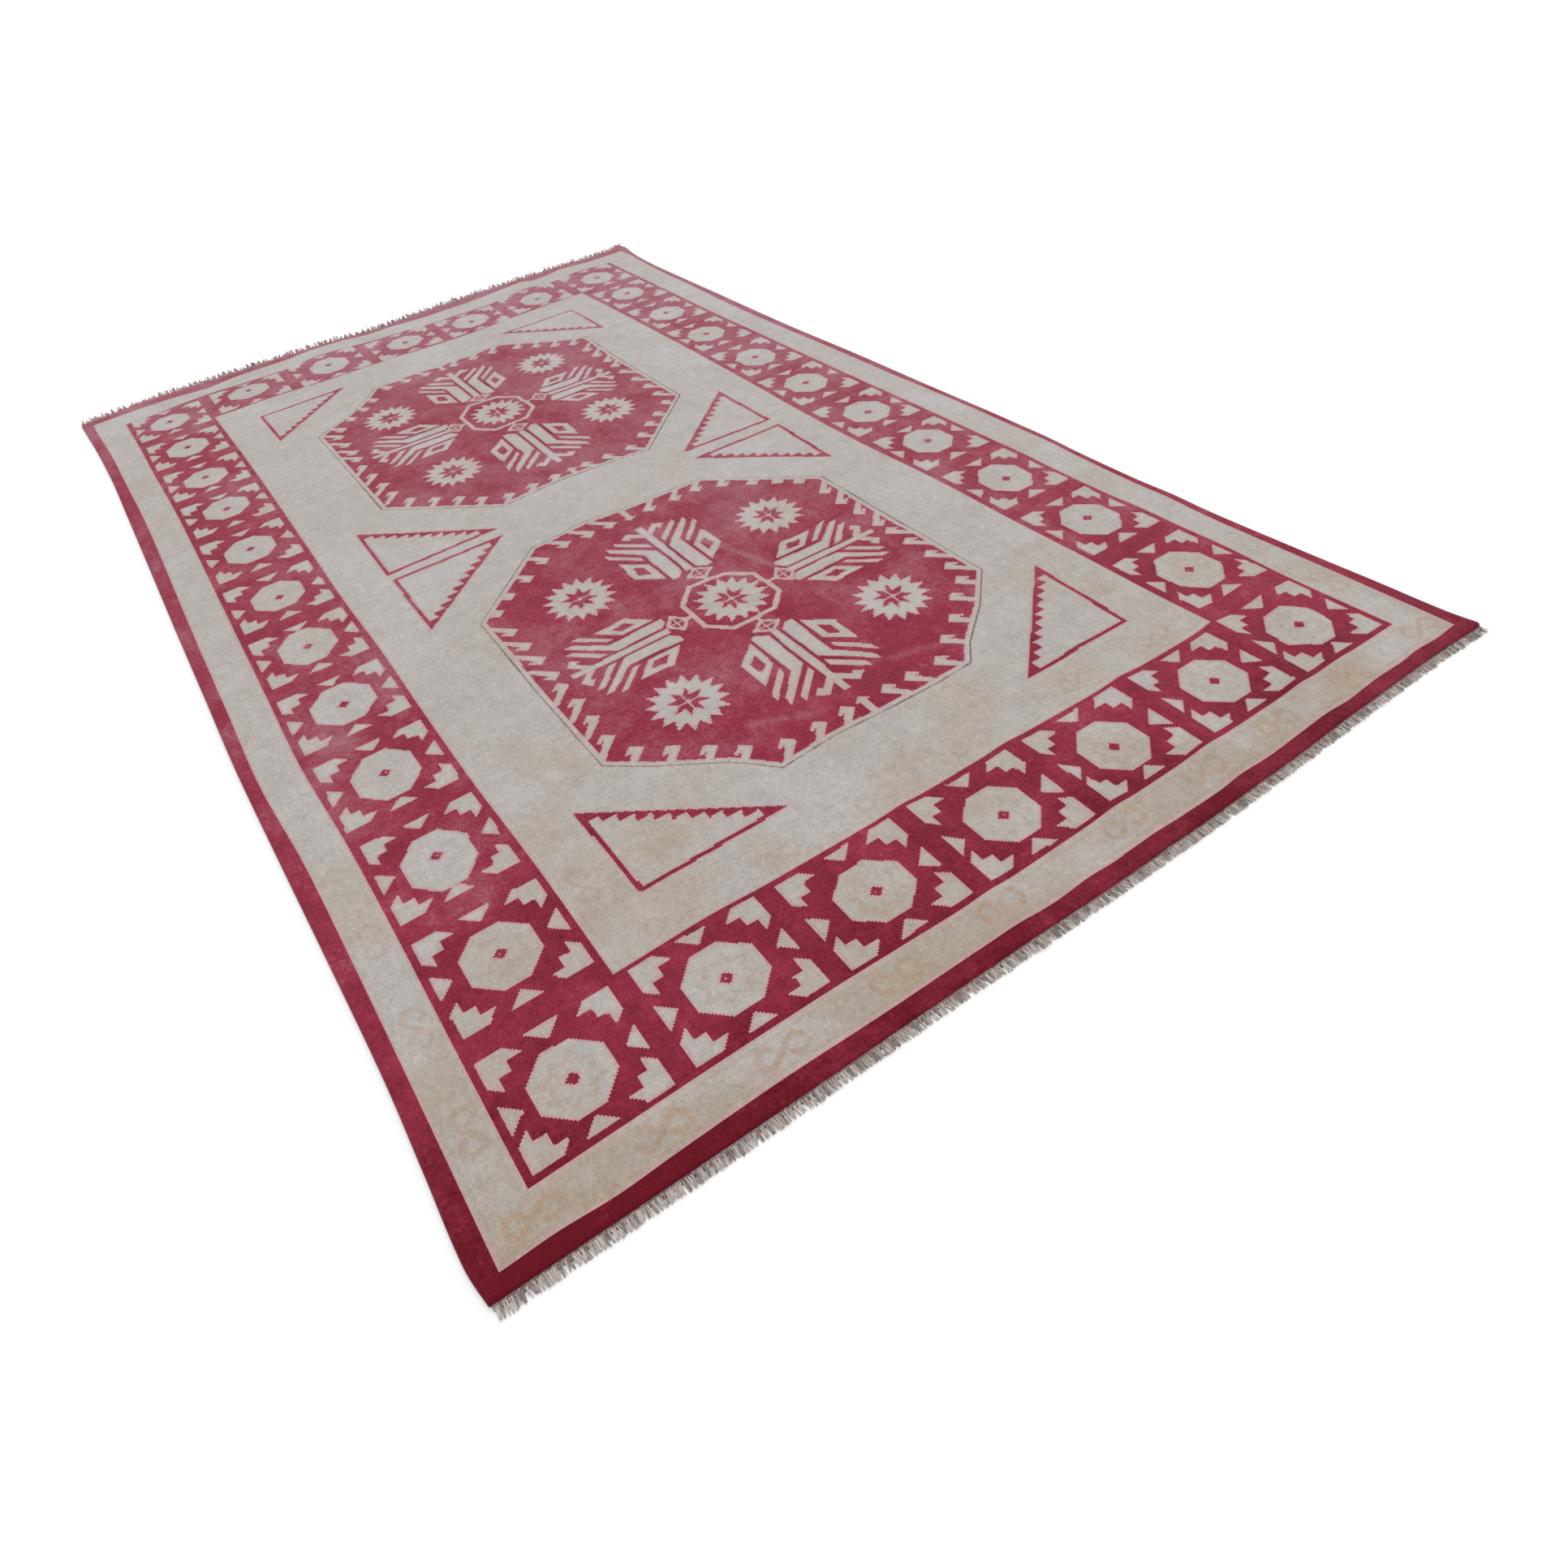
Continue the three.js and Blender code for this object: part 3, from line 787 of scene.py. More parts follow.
def medallion(name, middle, outline, leaves, rosettes, ring_height):
    """The whole medallion on the cream field: outline, hooks with an upright between them at each
    end, rosettes, ring, leaves and links."""
    cx, cy = middle
    spots = near_to(cx, cy, *REACH["medallion"])
    depth = polygon(X[spots], Y[spots], outline)
    knot_out(spots, depth - KNOT_PITCH - BAND_WIDTH)
    strength = np.where(Y[spots] > cy + OUTLINE["fainter_past"], OUTLINE["fainter"], 1.0)
    dark_line(spots, depth - OUTLINE["inside"], strength=strength)
    for group, peaks in HOOKS[name].items():
        lean_x = -1 if "right" in group else 1
        lean_y = -1 if "far" in group else 1
        for out, rise in peaks:
            hook(cx + out, cy + rise, lean_x, lean_y)
    for lean_y, group in ((1, "end"), (-1, "far_end")):
        peak_y = cy + HOOKS[name][group][1][1]
        spots = near_to(cx, peak_y + lean_y * UPRIGHT_MIDDLE, *REACH["upright"])
        knot_in(spots, polygon(X[spots] - cx, (Y[spots] - peak_y) * lean_y, UPRIGHT))
    for out, rise in rosettes:
        rosette(cx + out, cy + rise)
    spots = near_to(cx, cy, *REACH["ring"])
    x, y = X[spots] - cx, Y[spots] - cy
    depth = polygon(x, y / ring_height, RING)
    away_y = LINK["away"] * (0.5 + 0.5 * ring_height)
    neck = LINK["neck"] - np.minimum(np.abs(x), np.abs(y))
    neck = np.minimum(neck, np.minimum(LINK["away"] - np.abs(x), away_y - np.abs(y)))
    knot_in(spots, np.minimum(np.maximum(depth, neck), RING_WIDTH - depth))
    rosette(cx, cy, math.pi / 16)
    for side, ahead in (("left", (-1, 0)), ("right", (1, 0)), ("near", (0, -1)), ("far", (0, 1))):
        leaf(cx, cy, ahead, **leaves[side])
        link(cx + ahead[0] * LINK["away"], cy + ahead[1] * away_y, sideways=ahead[1] == 0)


for name, row in MEDALLIONS.items():
    medallion(name, **row)
print("cream share with the medallions", round(float((CREAM > 0).mean()), 3))

# %% [markdown]
# ## The eight corner triangles
#
# Right-angled triangles fill the corners round the medallions. Each is drawn in red with two
# plain sides and a sawn long side, whose teeth step down towards the right angle. The teeth
# are a staircase between the two plain sides.

# %% Corner triangles
TRIANGLE_LINE = 7.5
TRIANGLE_TEETH = 10
LONG_SIDE_LINE = 0.03
TOOTH_LEAN = 0.012
# The right angle, the end of the side that runs across, and the end of the one that runs along.
TRIANGLES = [
    {"corner": (-474, -1116), "across": (-218, -1110), "along": (-479, -909)},
    {"corner": (478, -1125), "across": (245, -1128), "along": (487, -895)},
    {"corner": (-472, -38), "across": (-222, -36), "along": (-474, -272)},
    {"corner": (-474, -12), "across": (-222, -2), "along": (-472, 206)},
    {"corner": (487, -48), "across": (254, -46), "along": (478, -272)},
    {"corner": (486, -12), "across": (250, -2), "along": (486, 222)},
    {"corner": (-475, 1071), "across": (-235, 1080), "along": (-473, 862)},
    {"corner": (488, 1084), "across": (250, 1082), "along": (486, 864), "line": 5.5},
]


def sawn_triangle(corner, across, along, line=TRIANGLE_LINE):
    """The red outline, then the cream inside it. In shares of the two plain sides the long side
    is where they add up to one, and the staircase goes down it from the side that runs along."""
    corner, across, along = (np.array(p, float) for p in (corner, across, along))
    middle = (corner + across + along) / 3
    spots = near_to(*middle, *REACH["triangle"])
    x, y = X[spots], Y[spots]
    run_x, run_y = across - corner, along - corner
    line_x = line / np.hypot(*run_x)
    line_y = line / np.hypot(*run_y)
    room = (1 - line_x - line_y - LONG_SIDE_LINE) / (1 + 1 / TRIANGLE_TEETH)
    stairs = [(line_x, line_y)]
    for k in range(TRIANGLE_TEETH):
        a = line_x + room * (1 - k / TRIANGLE_TEETH)
        b = line_y + room * k / TRIANGLE_TEETH
        next_b = b + room / TRIANGLE_TEETH
        stairs.append((a - (TOOTH_LEAN if k else 0), b))
        stairs.append((a, next_b))
    stairs.append((line_x, line_y + room))
    inner = [corner + a * run_x + b * run_y for a, b in stairs]
    whole = polygon(x, y, [corner, across, along])
    knot_out(spots, np.minimum(whole, -polygon(x, y, inner)))


for row in TRIANGLES:
    sawn_triangle(**row)
print("cream share with the triangles", round(float((CREAM > 0).mean()), 3))

# %% [markdown]
# ## Thin red lines
#
# The red lines between petals, round the triangles and along the border look browner than the
# broad red, and towards the far end almost grey, perhaps because cream fibres from both sides
# lie over them. A red knot counts as part of such a line when nothing near it lies deep in red.
# How much browner it is drawn grows with the square root of the way up the carpet.

# %% Thin red lines
NARROW = {"reach": 2, "depth": 6.0, "starts": -900.0, "full": 900.0, "strength": 0.60}


def deepest_near(depth, reach):
    """For each knot the greatest depth found within so many knots along and across."""
    most = depth.copy()
    for axis in (0, 1):
        along = most.copy()
        for step in range(1, reach + 1):
            along = np.maximum(along, np.roll(most, step, axis))
            along = np.maximum(along, np.roll(most, -step, axis))
        most = along
    return most


narrow = (CREAM < 0) & (deepest_near(-CREAM, NARROW["reach"]) < NARROW["depth"])
up_the_carpet = (Y - NARROW["starts"]) / (NARROW["full"] - NARROW["starts"])
browner = NARROW["strength"] * np.clip(up_the_carpet, 0, 1) ** 0.5
THIN[:] = np.maximum(THIN, np.where(narrow, browner, 0))
print("share of knots on thin red lines", round(float(narrow.mean()), 3))

# %% [markdown]
# ## The faded drawing
#
# A pale camel drawing is left in the cream, which has all but washed out: double scrolls in the
# guard and round the field, stars in the octagons, and thin lines along the guard's edges and
# round the field. It is charted like the rest and only tints the cream.

# %% Faded drawing
SCROLL = [(-10, 6), (-14, 13.5), (-26, 15), (-33, 6), (-32, -7), (-22.5, -14), (-12, -9),
          (12.6, 11), (22.5, 14.5), (32, 7), (33, -6), (25, -13.5), (15, -14), (10, -7.6)]
SCROLL_HALF = 4.4
SCROLL_ROWS = [
    {"y": -1447, "places": (-790, -625, -459, -286, -109, 119, 283, 444, 609, 792)},
    {"y": -1182, "places": (-467, -285, -110, 72, 302, 473)},
]
SCROLL_PITCH = 178.0
SCROLL_COLUMNS = [
    {"x": -811, "first": -1305, "many": 3}, {"x": -818, "first": -771, "many": 12},
    {"x": 806, "first": -1275, "many": 15}, {"x": -533, "first": -1050, "many": 12},
    {"x": 530, "first": -1010, "many": 12},
]
STAR = star_outline(8, 41, 26, math.pi / 8)
STAR_LINE_HALF = 2.6
# How many octagons of each row still show a star, counted from the left or from the near end.
STARS = {"near": 7, "left": 5, "right": 5}
# How far the faint lines run inside the guard's ring and the inner one, and outside the outer one.
FAINT_LINES = [(inside_guard, (9.0,)), (-inside_outer, (11.0,)), (inside_inner, (12.0, 67.0, 77.0))]
FAINT_HALF = 2.0


def tint(spots, depth):
    """Camel wool joins what is there."""
    GHOST[spots] = np.maximum(GHOST[spots], depth)


def scroll(cx, cy, turned=False):
    """A double scroll lying across the carpet, or turned to run along it."""
    spots = near_to(cx, cy, *REACH["scroll"])
    x, y = X[spots] - cx, Y[spots] - cy
    if turned:
        x, y = y, -x
    tint(spots, SCROLL_HALF - path_distance(x, y, SCROLL))


for row in SCROLL_ROWS:
    for place in row["places"]:
        scroll(place, row["y"])
for row in SCROLL_COLUMNS:
    for k in range(row["many"]):
        scroll(row["x"], row["first"] + SCROLL_PITCH * k, turned=True)
for side, many in STARS.items():
    for star_x, star_y in list(zip(*cell_middles(side)))[:many]:
        spots = near_to(star_x, star_y, *REACH["star"])
        star = polygon(X[spots] - star_x, Y[spots] - star_y, STAR)
        tint(spots, STAR_LINE_HALF - np.abs(star))
for depth, places in FAINT_LINES:
    for place in places:
        tint(np.s_[:, :], FAINT_HALF - np.abs(depth - place))
print("faded drawing covers", round(float((GHOST > 0).mean()), 3))

# %% [markdown]
# ## From chart to mesh
#
# Every face of the pile is a knot, so a knot's kind and the chance numbers that vary its yarn
# are stored once for each face. What changes smoothly, the distance from the motifs' edges
# and the depth in the faded drawing, is stored at the points between the knots.
# A piece of mesh is kept to a size that any viewer can open, so the pile is cut lengthwise
# into five strips that share their edge points. Their shading normals come from the whole
# surface, so no seam shows.

# %% Fading and painted sheen
# How pale the wool is drawn: 0 is as dyed, 1 and 2 are paler. On the whole it grows from the
# near end to the far one and from left to right. It is partly the wool's own fading and partly
# painted light: the sheen the pile shows towards the far end and the right side, where the light
# glances off it, is painted in as paler red and cream.
FADE_AND_SHEEN = {
    "along": (-1510, -1440, -1340, -1070, -700, -250, 700, 1070, 1330, 1500),
    "left": (-0.10, 0.04, 0.48, 0.78, 1.10, 1.20, 1.10, 1.22, 1.54, 1.50),
    "right": (0.30, 0.50, 0.80, 1.02, 1.24, 1.47, 1.78, 1.94, 2.05, 1.85),
}
# Painted highlights: paler streaks along old creases, where the ridges of the creases catch the
# light.
CREASE_SHINE = [
    {"start": (84, -365), "end": (133, -547), "paler": 0.60},
    {"start": (60, -912), "end": (197, -959), "paler": 0.40},
    {"start": (-160, -918), "end": (-74, -960), "paler": 0.40},
]
CREASE_SHINE_WIDTH = 9.0


def fade_and_sheen(x, y):
    """How pale a place is drawn, the wool's fading and painted sheen together: a straight change
    from the left column to the right one, and on a crease a painted highlight, a bell curve,
    exp(-(distance / CREASE_SHINE_WIDTH)**2), on top of it."""
    left = curve_through(FADE_AND_SHEEN["along"], FADE_AND_SHEEN["left"], y)
    right = curve_through(FADE_AND_SHEEN["along"], FADE_AND_SHEEN["right"], y)
    paleness = left + (right - left) * (x / LOOM_WIDTH + 0.5)
    # Each crease adds a painted highlight, a paler streak along it.
    for crease in CREASE_SHINE:
        away = path_distance(x, y, [crease["start"], crease["end"]])
        paleness = paleness + crease["paler"] * np.exp(-(away / CREASE_SHINE_WIDTH) ** 2)
    return paleness


print("fading from", FADE_AND_SHEEN["left"][0], "to", FADE_AND_SHEEN["right"][-1])

# %% Mesh helpers
def surface_normals(x, y, z):
    """Unit normals of a grid surface: the cross product of its two directions."""
    across = np.stack([np.gradient(v, axis=1) for v in (x, y, z)], axis=-1)
    along = np.stack([np.gradient(v, axis=0) for v in (x, y, z)], axis=-1)
    normal = np.cross(across, along)
    return normal / np.maximum(np.linalg.norm(normal, axis=-1, keepdims=True), 1e-9)


def point_mean(values):
    """The value at each point, from the knots around it."""
    return knot_mean(np.pad(values, 1, mode="edge"))


def grid_faces(rows_count, columns_count, flip=False):
    """Four-sided faces over a grid whose points are counted row by row."""
    corner = np.arange(rows_count * columns_count).reshape(rows_count, columns_count)
    quads = np.stack([corner[:-1, :-1], corner[:-1, 1:], corner[1:, 1:], corner[1:, :-1]], axis=-1)
    quads = quads.reshape(-1, 4)
    return quads[:, ::-1] if flip else quads


def tube_faces(rings, sides):
    """Triangles of a closed tube whose points are counted ring by ring: two for each place on
    its side, and a fan over each end."""
    corner = np.arange(rings * sides).reshape(rings, sides)
    after = np.roll(corner, -1, axis=1)
    lower = np.stack([corner[:-1], after[:-1], after[1:]], axis=-1).reshape(-1, 3)
    upper = np.stack([corner[:-1], after[1:], corner[1:]], axis=-1).reshape(-1, 3)
    second = np.arange(1, sides - 1)
    fan = np.stack([np.zeros_like(second), second, second + 1], axis=-1)
    return np.concatenate([lower, upper, fan[:, ::-1], fan + (rings - 1) * sides])


def mesh_object(name, points_mm, faces, material, normals=None):
    """A new mesh object from points in millimetres and faces that all have the same number of
    corners, with its material, riding on the carpet."""
    mesh = bpy.data.meshes.new(name)
    points = np.ascontiguousarray(points_mm.reshape(-1, 3) * MM, dtype=np.float32)
    faces = np.ascontiguousarray(faces, dtype=np.int32)
    mesh.vertices.add(len(points))
    mesh.vertices.foreach_set("co", points.ravel())
    mesh.loops.add(faces.size)
    mesh.loops.foreach_set("vertex_index", faces.ravel())
    mesh.polygons.add(len(faces))
    mesh.polygons.foreach_set("loop_start", np.arange(len(faces), dtype=np.int32) * faces.shape[1])
    mesh.update(calc_edges=True)
    mesh.polygons.foreach_set("use_smooth", np.ones(len(faces), dtype=bool))
    if normals is not None:
        mesh.normals_split_custom_set_from_vertices(normals.reshape(-1, 3))
    mesh.materials.append(material)
    piece = bpy.data.objects.new(name, mesh)
    scene.collection.objects.link(piece)
    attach(piece, "root")
    return piece


def store(piece, name, values, domain="POINT"):
    """A vector for each point or face of the mesh, under a name that the material reads."""
    layer = piece.data.attributes.new(name, "FLOAT_VECTOR", domain)
    layer.data.foreach_set("vector", np.ascontiguousarray(values, dtype=np.float32).ravel())


def unwrap(piece, places):
    """A flat layout of the piece for baking, from one place for each corner of each face."""
    layer = piece.data.uv_layers.new(name="OFBake")
    layer.data.foreach_set("uv", np.ascontiguousarray(places, dtype=np.float32).ravel())


print("a tube of 5 rings and 5 sides has", len(tube_faces(5, 5)), "triangles")

# %% [markdown]
# ## Wool and cotton
#
# The wool is dull and soft, with no gloss to speak of. Its colour changes slowly over the
# carpet, because each batch of yarn took the dye differently and feet and sun faded the rest,
# and because painted light is laid over that: paler sheen towards the far end and the right side,
# and painted highlights along old creases. It also changes quickly from knot to knot. Where cream
# meets red, a little dye has run into the cream. The knots stand up as small rounded tufts. These
# effects are node groups, so that the pile and the underside can share them.

# %% Node helpers
def node_group(name, inputs, outputs):
    """A shader group with named sockets. Gives the group with its input and output nodes."""
    group = bpy.data.node_groups.new(name, "ShaderNodeTree")
    for label, kind, start in inputs:
        socket = group.interface.new_socket(label, in_out="INPUT", socket_type=kind)
        if start is not None:
            socket.default_value = start
    for label, kind in outputs:
        group.interface.new_socket(label, in_out="OUTPUT", socket_type=kind)
    return group, group.nodes.new("NodeGroupInput"), group.nodes.new("NodeGroupOutput")


class Bench:
    """Adds nodes to a tree and joins them, one line for each."""

    def __init__(self, tree):
        self.tree = tree

    def put(self, target, value):
        if isinstance(value, bpy.types.NodeSocket):
            self.tree.links.new(value, target)
        elif value is not None:
            target.default_value = value

    def add(self, kind, settings=None, **inputs):
        node = self.tree.nodes.new(kind)
        for key, value in (settings or {}).items():
            setattr(node, key, value)
        for key, value in inputs.items():
            self.put(node.inputs[key.replace("_", " ")], value)
        return node

    def math(self, operation, first, second=None, third=None, clamp=False):
        node = self.tree.nodes.new("ShaderNodeMath")
        node.operation = operation
        node.use_clamp = clamp
        for socket, value in zip(node.inputs, (first, second, third)):
            self.put(socket, value)
        return node.outputs[0]

    def vector(self, operation, first, second=None):
        node = self.tree.nodes.new("ShaderNodeVectorMath")
        node.operation = operation
        for socket, value in zip(node.inputs, (first, second)):
            self.put(socket, value)
        return node.outputs["Vector"]

    def join(self, operation, rows):
        """Each row's value times its factor plus its offset, all joined by one operation."""
        whole = self.math("MULTIPLY_ADD", *rows[0])
        for row in rows[1:]:
            whole = self.math(operation, whole, self.math("MULTIPLY_ADD", *row))
        return whole

    def ramp(self, value, low, high, smooth=True):
        """0 below low, 1 above high, and a smooth or even rise between them."""
        node = self.tree.nodes.new("ShaderNodeMapRange")
        node.interpolation_type = "SMOOTHSTEP" if smooth else "LINEAR"
        self.put(node.inputs["Value"], value)
        self.put(node.inputs["From Min"], low)
        self.put(node.inputs["From Max"], high)
        return node.outputs["Result"]

    def mix(self, share, first, second, blend="MIX"):
        node = self.tree.nodes.new("ShaderNodeMix")
        node.data_type = "RGBA"
        node.blend_type = blend
        for number, value in ((0, share), (6, first), (7, second)):
            self.put(node.inputs[number], value)
        return node.outputs[2]

    def noise(self, place, scale, detail=2.0, stretch=None, roughness=0.5):
        if stretch is not None:
            place = self.vector("MULTIPLY", place, stretch)
        node = self.add("ShaderNodeTexNoise", {"noise_dimensions": "3D"}, Vector=place,
                        Scale=scale, Detail=detail, Roughness=roughness)
        return node.outputs["Fac"]


def plain_material(name, roughness, specular):
    """A dull material. Gives it with its bench, its shader and the place on the object."""
    material = bpy.data.materials.new(name)
    material.use_nodes = True
    bench = Bench(material.node_tree)
    shader = material.node_tree.nodes["Principled BSDF"]
    shader.inputs["Roughness"].default_value = roughness
    shader.inputs["Specular IOR Level"].default_value = specular
    return material, bench, shader, bench.add("ShaderNodeTexCoord").outputs["Object"]


def bump_from(bench, shader, height, strength):
    """Tilt the shading by a height in metres."""
    bump = bench.add("ShaderNodeBump", Height=height, Strength=strength, Distance=1.0)
    bench.put(shader.inputs["Normal"], bump.outputs["Normal"])


print("shader nodes to work with", sum(name.startswith("ShaderNode") for name in dir(bpy.types)))

# %% Dyed wool
RED_DEEP = (0.125, 0.004, 0.011, 1)
RED = (0.268, 0.026, 0.054, 1)
# The palest red: partly faded wool and partly painted sheen.
RED_FADED_AND_SHEEN = (0.335, 0.138, 0.172, 1)
CREAM_WOOL = (0.430, 0.398, 0.376, 1)
CREAM_WARM = (0.355, 0.292, 0.224, 1)
CREAM_COOL = (0.455, 0.438, 0.438, 1)
PINKED = (0.470, 0.285, 0.290, 1)
CAMEL = (0.372, 0.268, 0.190, 1)
DARK_WOOL = (0.125, 0.028, 0.042, 1)
SPECK = (0.090, 0.070, 0.070, 1)

dyes, dyes_in, dyes_out = node_group(
    "dyed wool",
    [("Place", "NodeSocketVector", None), ("Cream", "NodeSocketFloat", 0.0),
     ("Dark", "NodeSocketFloat", 0.0), ("Edge", "NodeSocketFloat", 0.0),
     ("Ghost", "NodeSocketFloat", -10.0), ("Fade", "NodeSocketFloat", 0.0),
     ("Chance", "NodeSocketFloat", 0.5), ("Chance 2", "NodeSocketFloat", 0.5),
     ("Wear", "NodeSocketFloat", 1.0)],
    [("Color", "NodeSocketColor"), ("Roughness", "NodeSocketFloat")],
)
bench = Bench(dyes)
place = dyes_in.outputs["Place"]
# How pale the wool is drawn, partly its fading and partly painted sheen.
paleness = dyes_in.outputs["Fade"]
# Each noise has its scale in cells for each metre, its detail and how it is drawn out.
clouds = bench.noise(place, 7.0, 4.0, roughness=0.7)
grain = bench.noise(place, 42.0, 4.0, (1.0, 0.75, 1.0), roughness=0.95)
fluff_red = bench.noise(place, 170.0, 3.0, (1.0, 0.8, 1.0), roughness=0.7)
worn = bench.noise(bench.vector("ADD", place, (3.1, 7.7, 0)), 4.0, 2.0)
rubbed = bench.noise(place, 16.0, 4.0, (1.0, 0.35, 1.0), roughness=0.7)
weft_rows = bench.noise(place, 85.0, 1.0, (0.05, 1.0, 1.0))
warp_rows = bench.noise(place, 190.0, 1.0, (1.0, 0.06, 1.0))

# Red wool: patches and grain shift the paleness, and the paleness chooses between three reds.
# The paleness is partly painted sheen, so the palest red stands partly for faded wool and partly
# for painted sheen.
mottled = bench.join("ADD", [
    (clouds, 1.9, -0.95), (grain, 1.0, -0.50), (worn, 1.1, -0.55),
    (bench.ramp(rubbed, 0.52, 0.72), 0.36, 0.0),
    (dyes_in.outputs["Chance 2"], 0.30, -0.22), (fluff_red, 0.9, -0.45),
])
paleness_here = bench.math("MULTIPLY_ADD", mottled, dyes_in.outputs["Wear"], paleness)
deep_share = bench.ramp(paleness_here, -0.15, 1.0, smooth=False)
red_wool = bench.mix(deep_share, RED_DEEP, RED)
red_wool = bench.mix(bench.ramp(paleness_here, 1.0, 2.1, smooth=False), red_wool, RED_FADED_AND_SHEEN)

# Cream wool: warmer and darker where it is drawn least pale, so the painted sheen shows on it too,
# cooler in patches, tinted by the faded drawing, pink where dye has run into it from a red edge,
# and specked with dark hairs.
warmth = bench.math("MULTIPLY_ADD", paleness, -0.74, 0.96)
warmth = bench.math("ADD", warmth, bench.math("MULTIPLY_ADD", clouds, 3.6, -1.8))
warmth = bench.math("MULTIPLY", warmth, 0.9, clamp=True)
cream_wool = bench.mix(warmth, CREAM_WOOL, CREAM_WARM)
cool = bench.math("ADD", worn, bench.math("MULTIPLY_ADD", clouds, 0.8, -0.4))
cool = bench.ramp(cool, 0.46, 0.66)
cream_wool = bench.mix(bench.math("MULTIPLY", cool, 0.60), cream_wool, CREAM_COOL)
ghost_share = bench.ramp(dyes_in.outputs["Ghost"], -2.5, 2.5)
ghost_wear = bench.ramp(bench.noise(place, 22.0, 3.0), 0.24, 0.48)
ghost_here = bench.math("MULTIPLY_ADD", paleness, -0.62, 0.86, clamp=True)
ghost_share = bench.math("MULTIPLY", ghost_share, bench.math("MULTIPLY", ghost_wear, ghost_here))
cream_wool = bench.mix(ghost_share, cream_wool, CAMEL)
run = bench.math("MULTIPLY", bench.ramp(dyes_in.outputs["Edge"], 6.5, 0.5), 0.80)
cream_wool = bench.mix(run, cream_wool, PINKED)
speck = bench.ramp(bench.noise(place, 130.0, 1.0), 0.800, 0.830)
cream_wool = bench.mix(bench.math("MULTIPLY", speck, 0.6), cream_wool, SPECK)

# Both wools: the thin dark lines, and a tone that differs from knot to knot and row to row.
wool = bench.mix(dyes_in.outputs["Cream"], red_wool, cream_wool)
wool = bench.mix(bench.math("MULTIPLY", dyes_in.outputs["Dark"], 0.88), wool, DARK_WOOL)
fluff = bench.noise(place, 230.0, 3.0, (1.0, 0.8, 1.0), roughness=0.7)
tone = bench.join("MULTIPLY", [
    (dyes_in.outputs["Chance"], 0.05, 0.975), (fluff, 0.60, 0.70), (weft_rows, 0.10, 0.95),
    (warp_rows, 0.10, 0.95), (clouds, 0.26, 0.87), (grain, 0.50, 0.75),
])
tone_colour = bench.add("ShaderNodeCombineColor", Red=tone, Green=tone, Blue=tone).outputs[0]
wool = bench.mix(1.0, wool, tone_colour, "MULTIPLY")
dyes.links.new(wool, dyes_out.inputs["Color"])
dyes.links.new(bench.math("MULTIPLY_ADD", worn, 0.12, 0.84), dyes_out.inputs["Roughness"])
print("dyed wool", len(dyes.nodes), "nodes")

# %% Tufts
tufts, tufts_in, tufts_out = node_group(
    "tufts",
    [("Place", "NodeSocketVector", None), ("Count", "NodeSocketVector", None),
     ("Chance", "NodeSocketFloat", 0.5), ("Tuft height", "NodeSocketFloat", 0.22 * MM),
     ("Fibre height", "NodeSocketFloat", 0.55 * MM)],
    [("Height", "NodeSocketFloat")],
)
bench = Bench(tufts)
count = tufts_in.outputs["Count"]
within = bench.vector("SUBTRACT", bench.vector("FRACTION", count), (0.5, 0.5, 0.0))
parts = bench.add("ShaderNodeSeparateXYZ", Vector=within)
square_x = bench.math("MULTIPLY", parts.outputs["X"], parts.outputs["X"])
square_y = bench.math("MULTIPLY", parts.outputs["Y"], parts.outputs["Y"])
dome = bench.math("MULTIPLY_ADD", square_x, -2.6, bench.math("MULTIPLY_ADD", square_y, -1.4, 1.0))
uneven = bench.math("MULTIPLY_ADD", tufts_in.outputs["Chance"], 0.5, 0.75)
height = bench.math("MULTIPLY", bench.math("MULTIPLY", dome, uneven),
                    tufts_in.outputs["Tuft height"])
fibres = bench.noise(tufts_in.outputs["Place"], 330.0, 4.0, (1.0, 0.75, 1.0), roughness=0.65)
height = bench.math("MULTIPLY_ADD", fibres, tufts_in.outputs["Fibre height"], height)
pressed = bench.noise(tufts_in.outputs["Place"], 45.0, 3.0, (1.0, 0.55, 1.0))
height = bench.math("MULTIPLY_ADD", pressed, 1.2 * MM, height)
tufts.links.new(height, tufts_out.inputs["Height"])
print("tufts", len(tufts.nodes), "nodes")

# %% Pile and underside materials
WOOL_SPECULAR = 0.10
SHEEN = {"Sheen Weight": 0.08, "Sheen Roughness": 0.45, "Sheen Tint": (0.95, 0.96, 1.0, 1)}
KNOT_HOLD = 1.5  # mm that a knot's own colour pushes the line between two wools
LINE_BLUR = 0.8  # mm over which one wool gives way to the other


def stored_parts(bench, name):
    """A stored vector, and its three numbers."""
    stored = bench.add("ShaderNodeAttribute", {"attribute_name": name}).outputs["Vector"]
    return stored, bench.add("ShaderNodeSeparateXYZ", Vector=stored).outputs


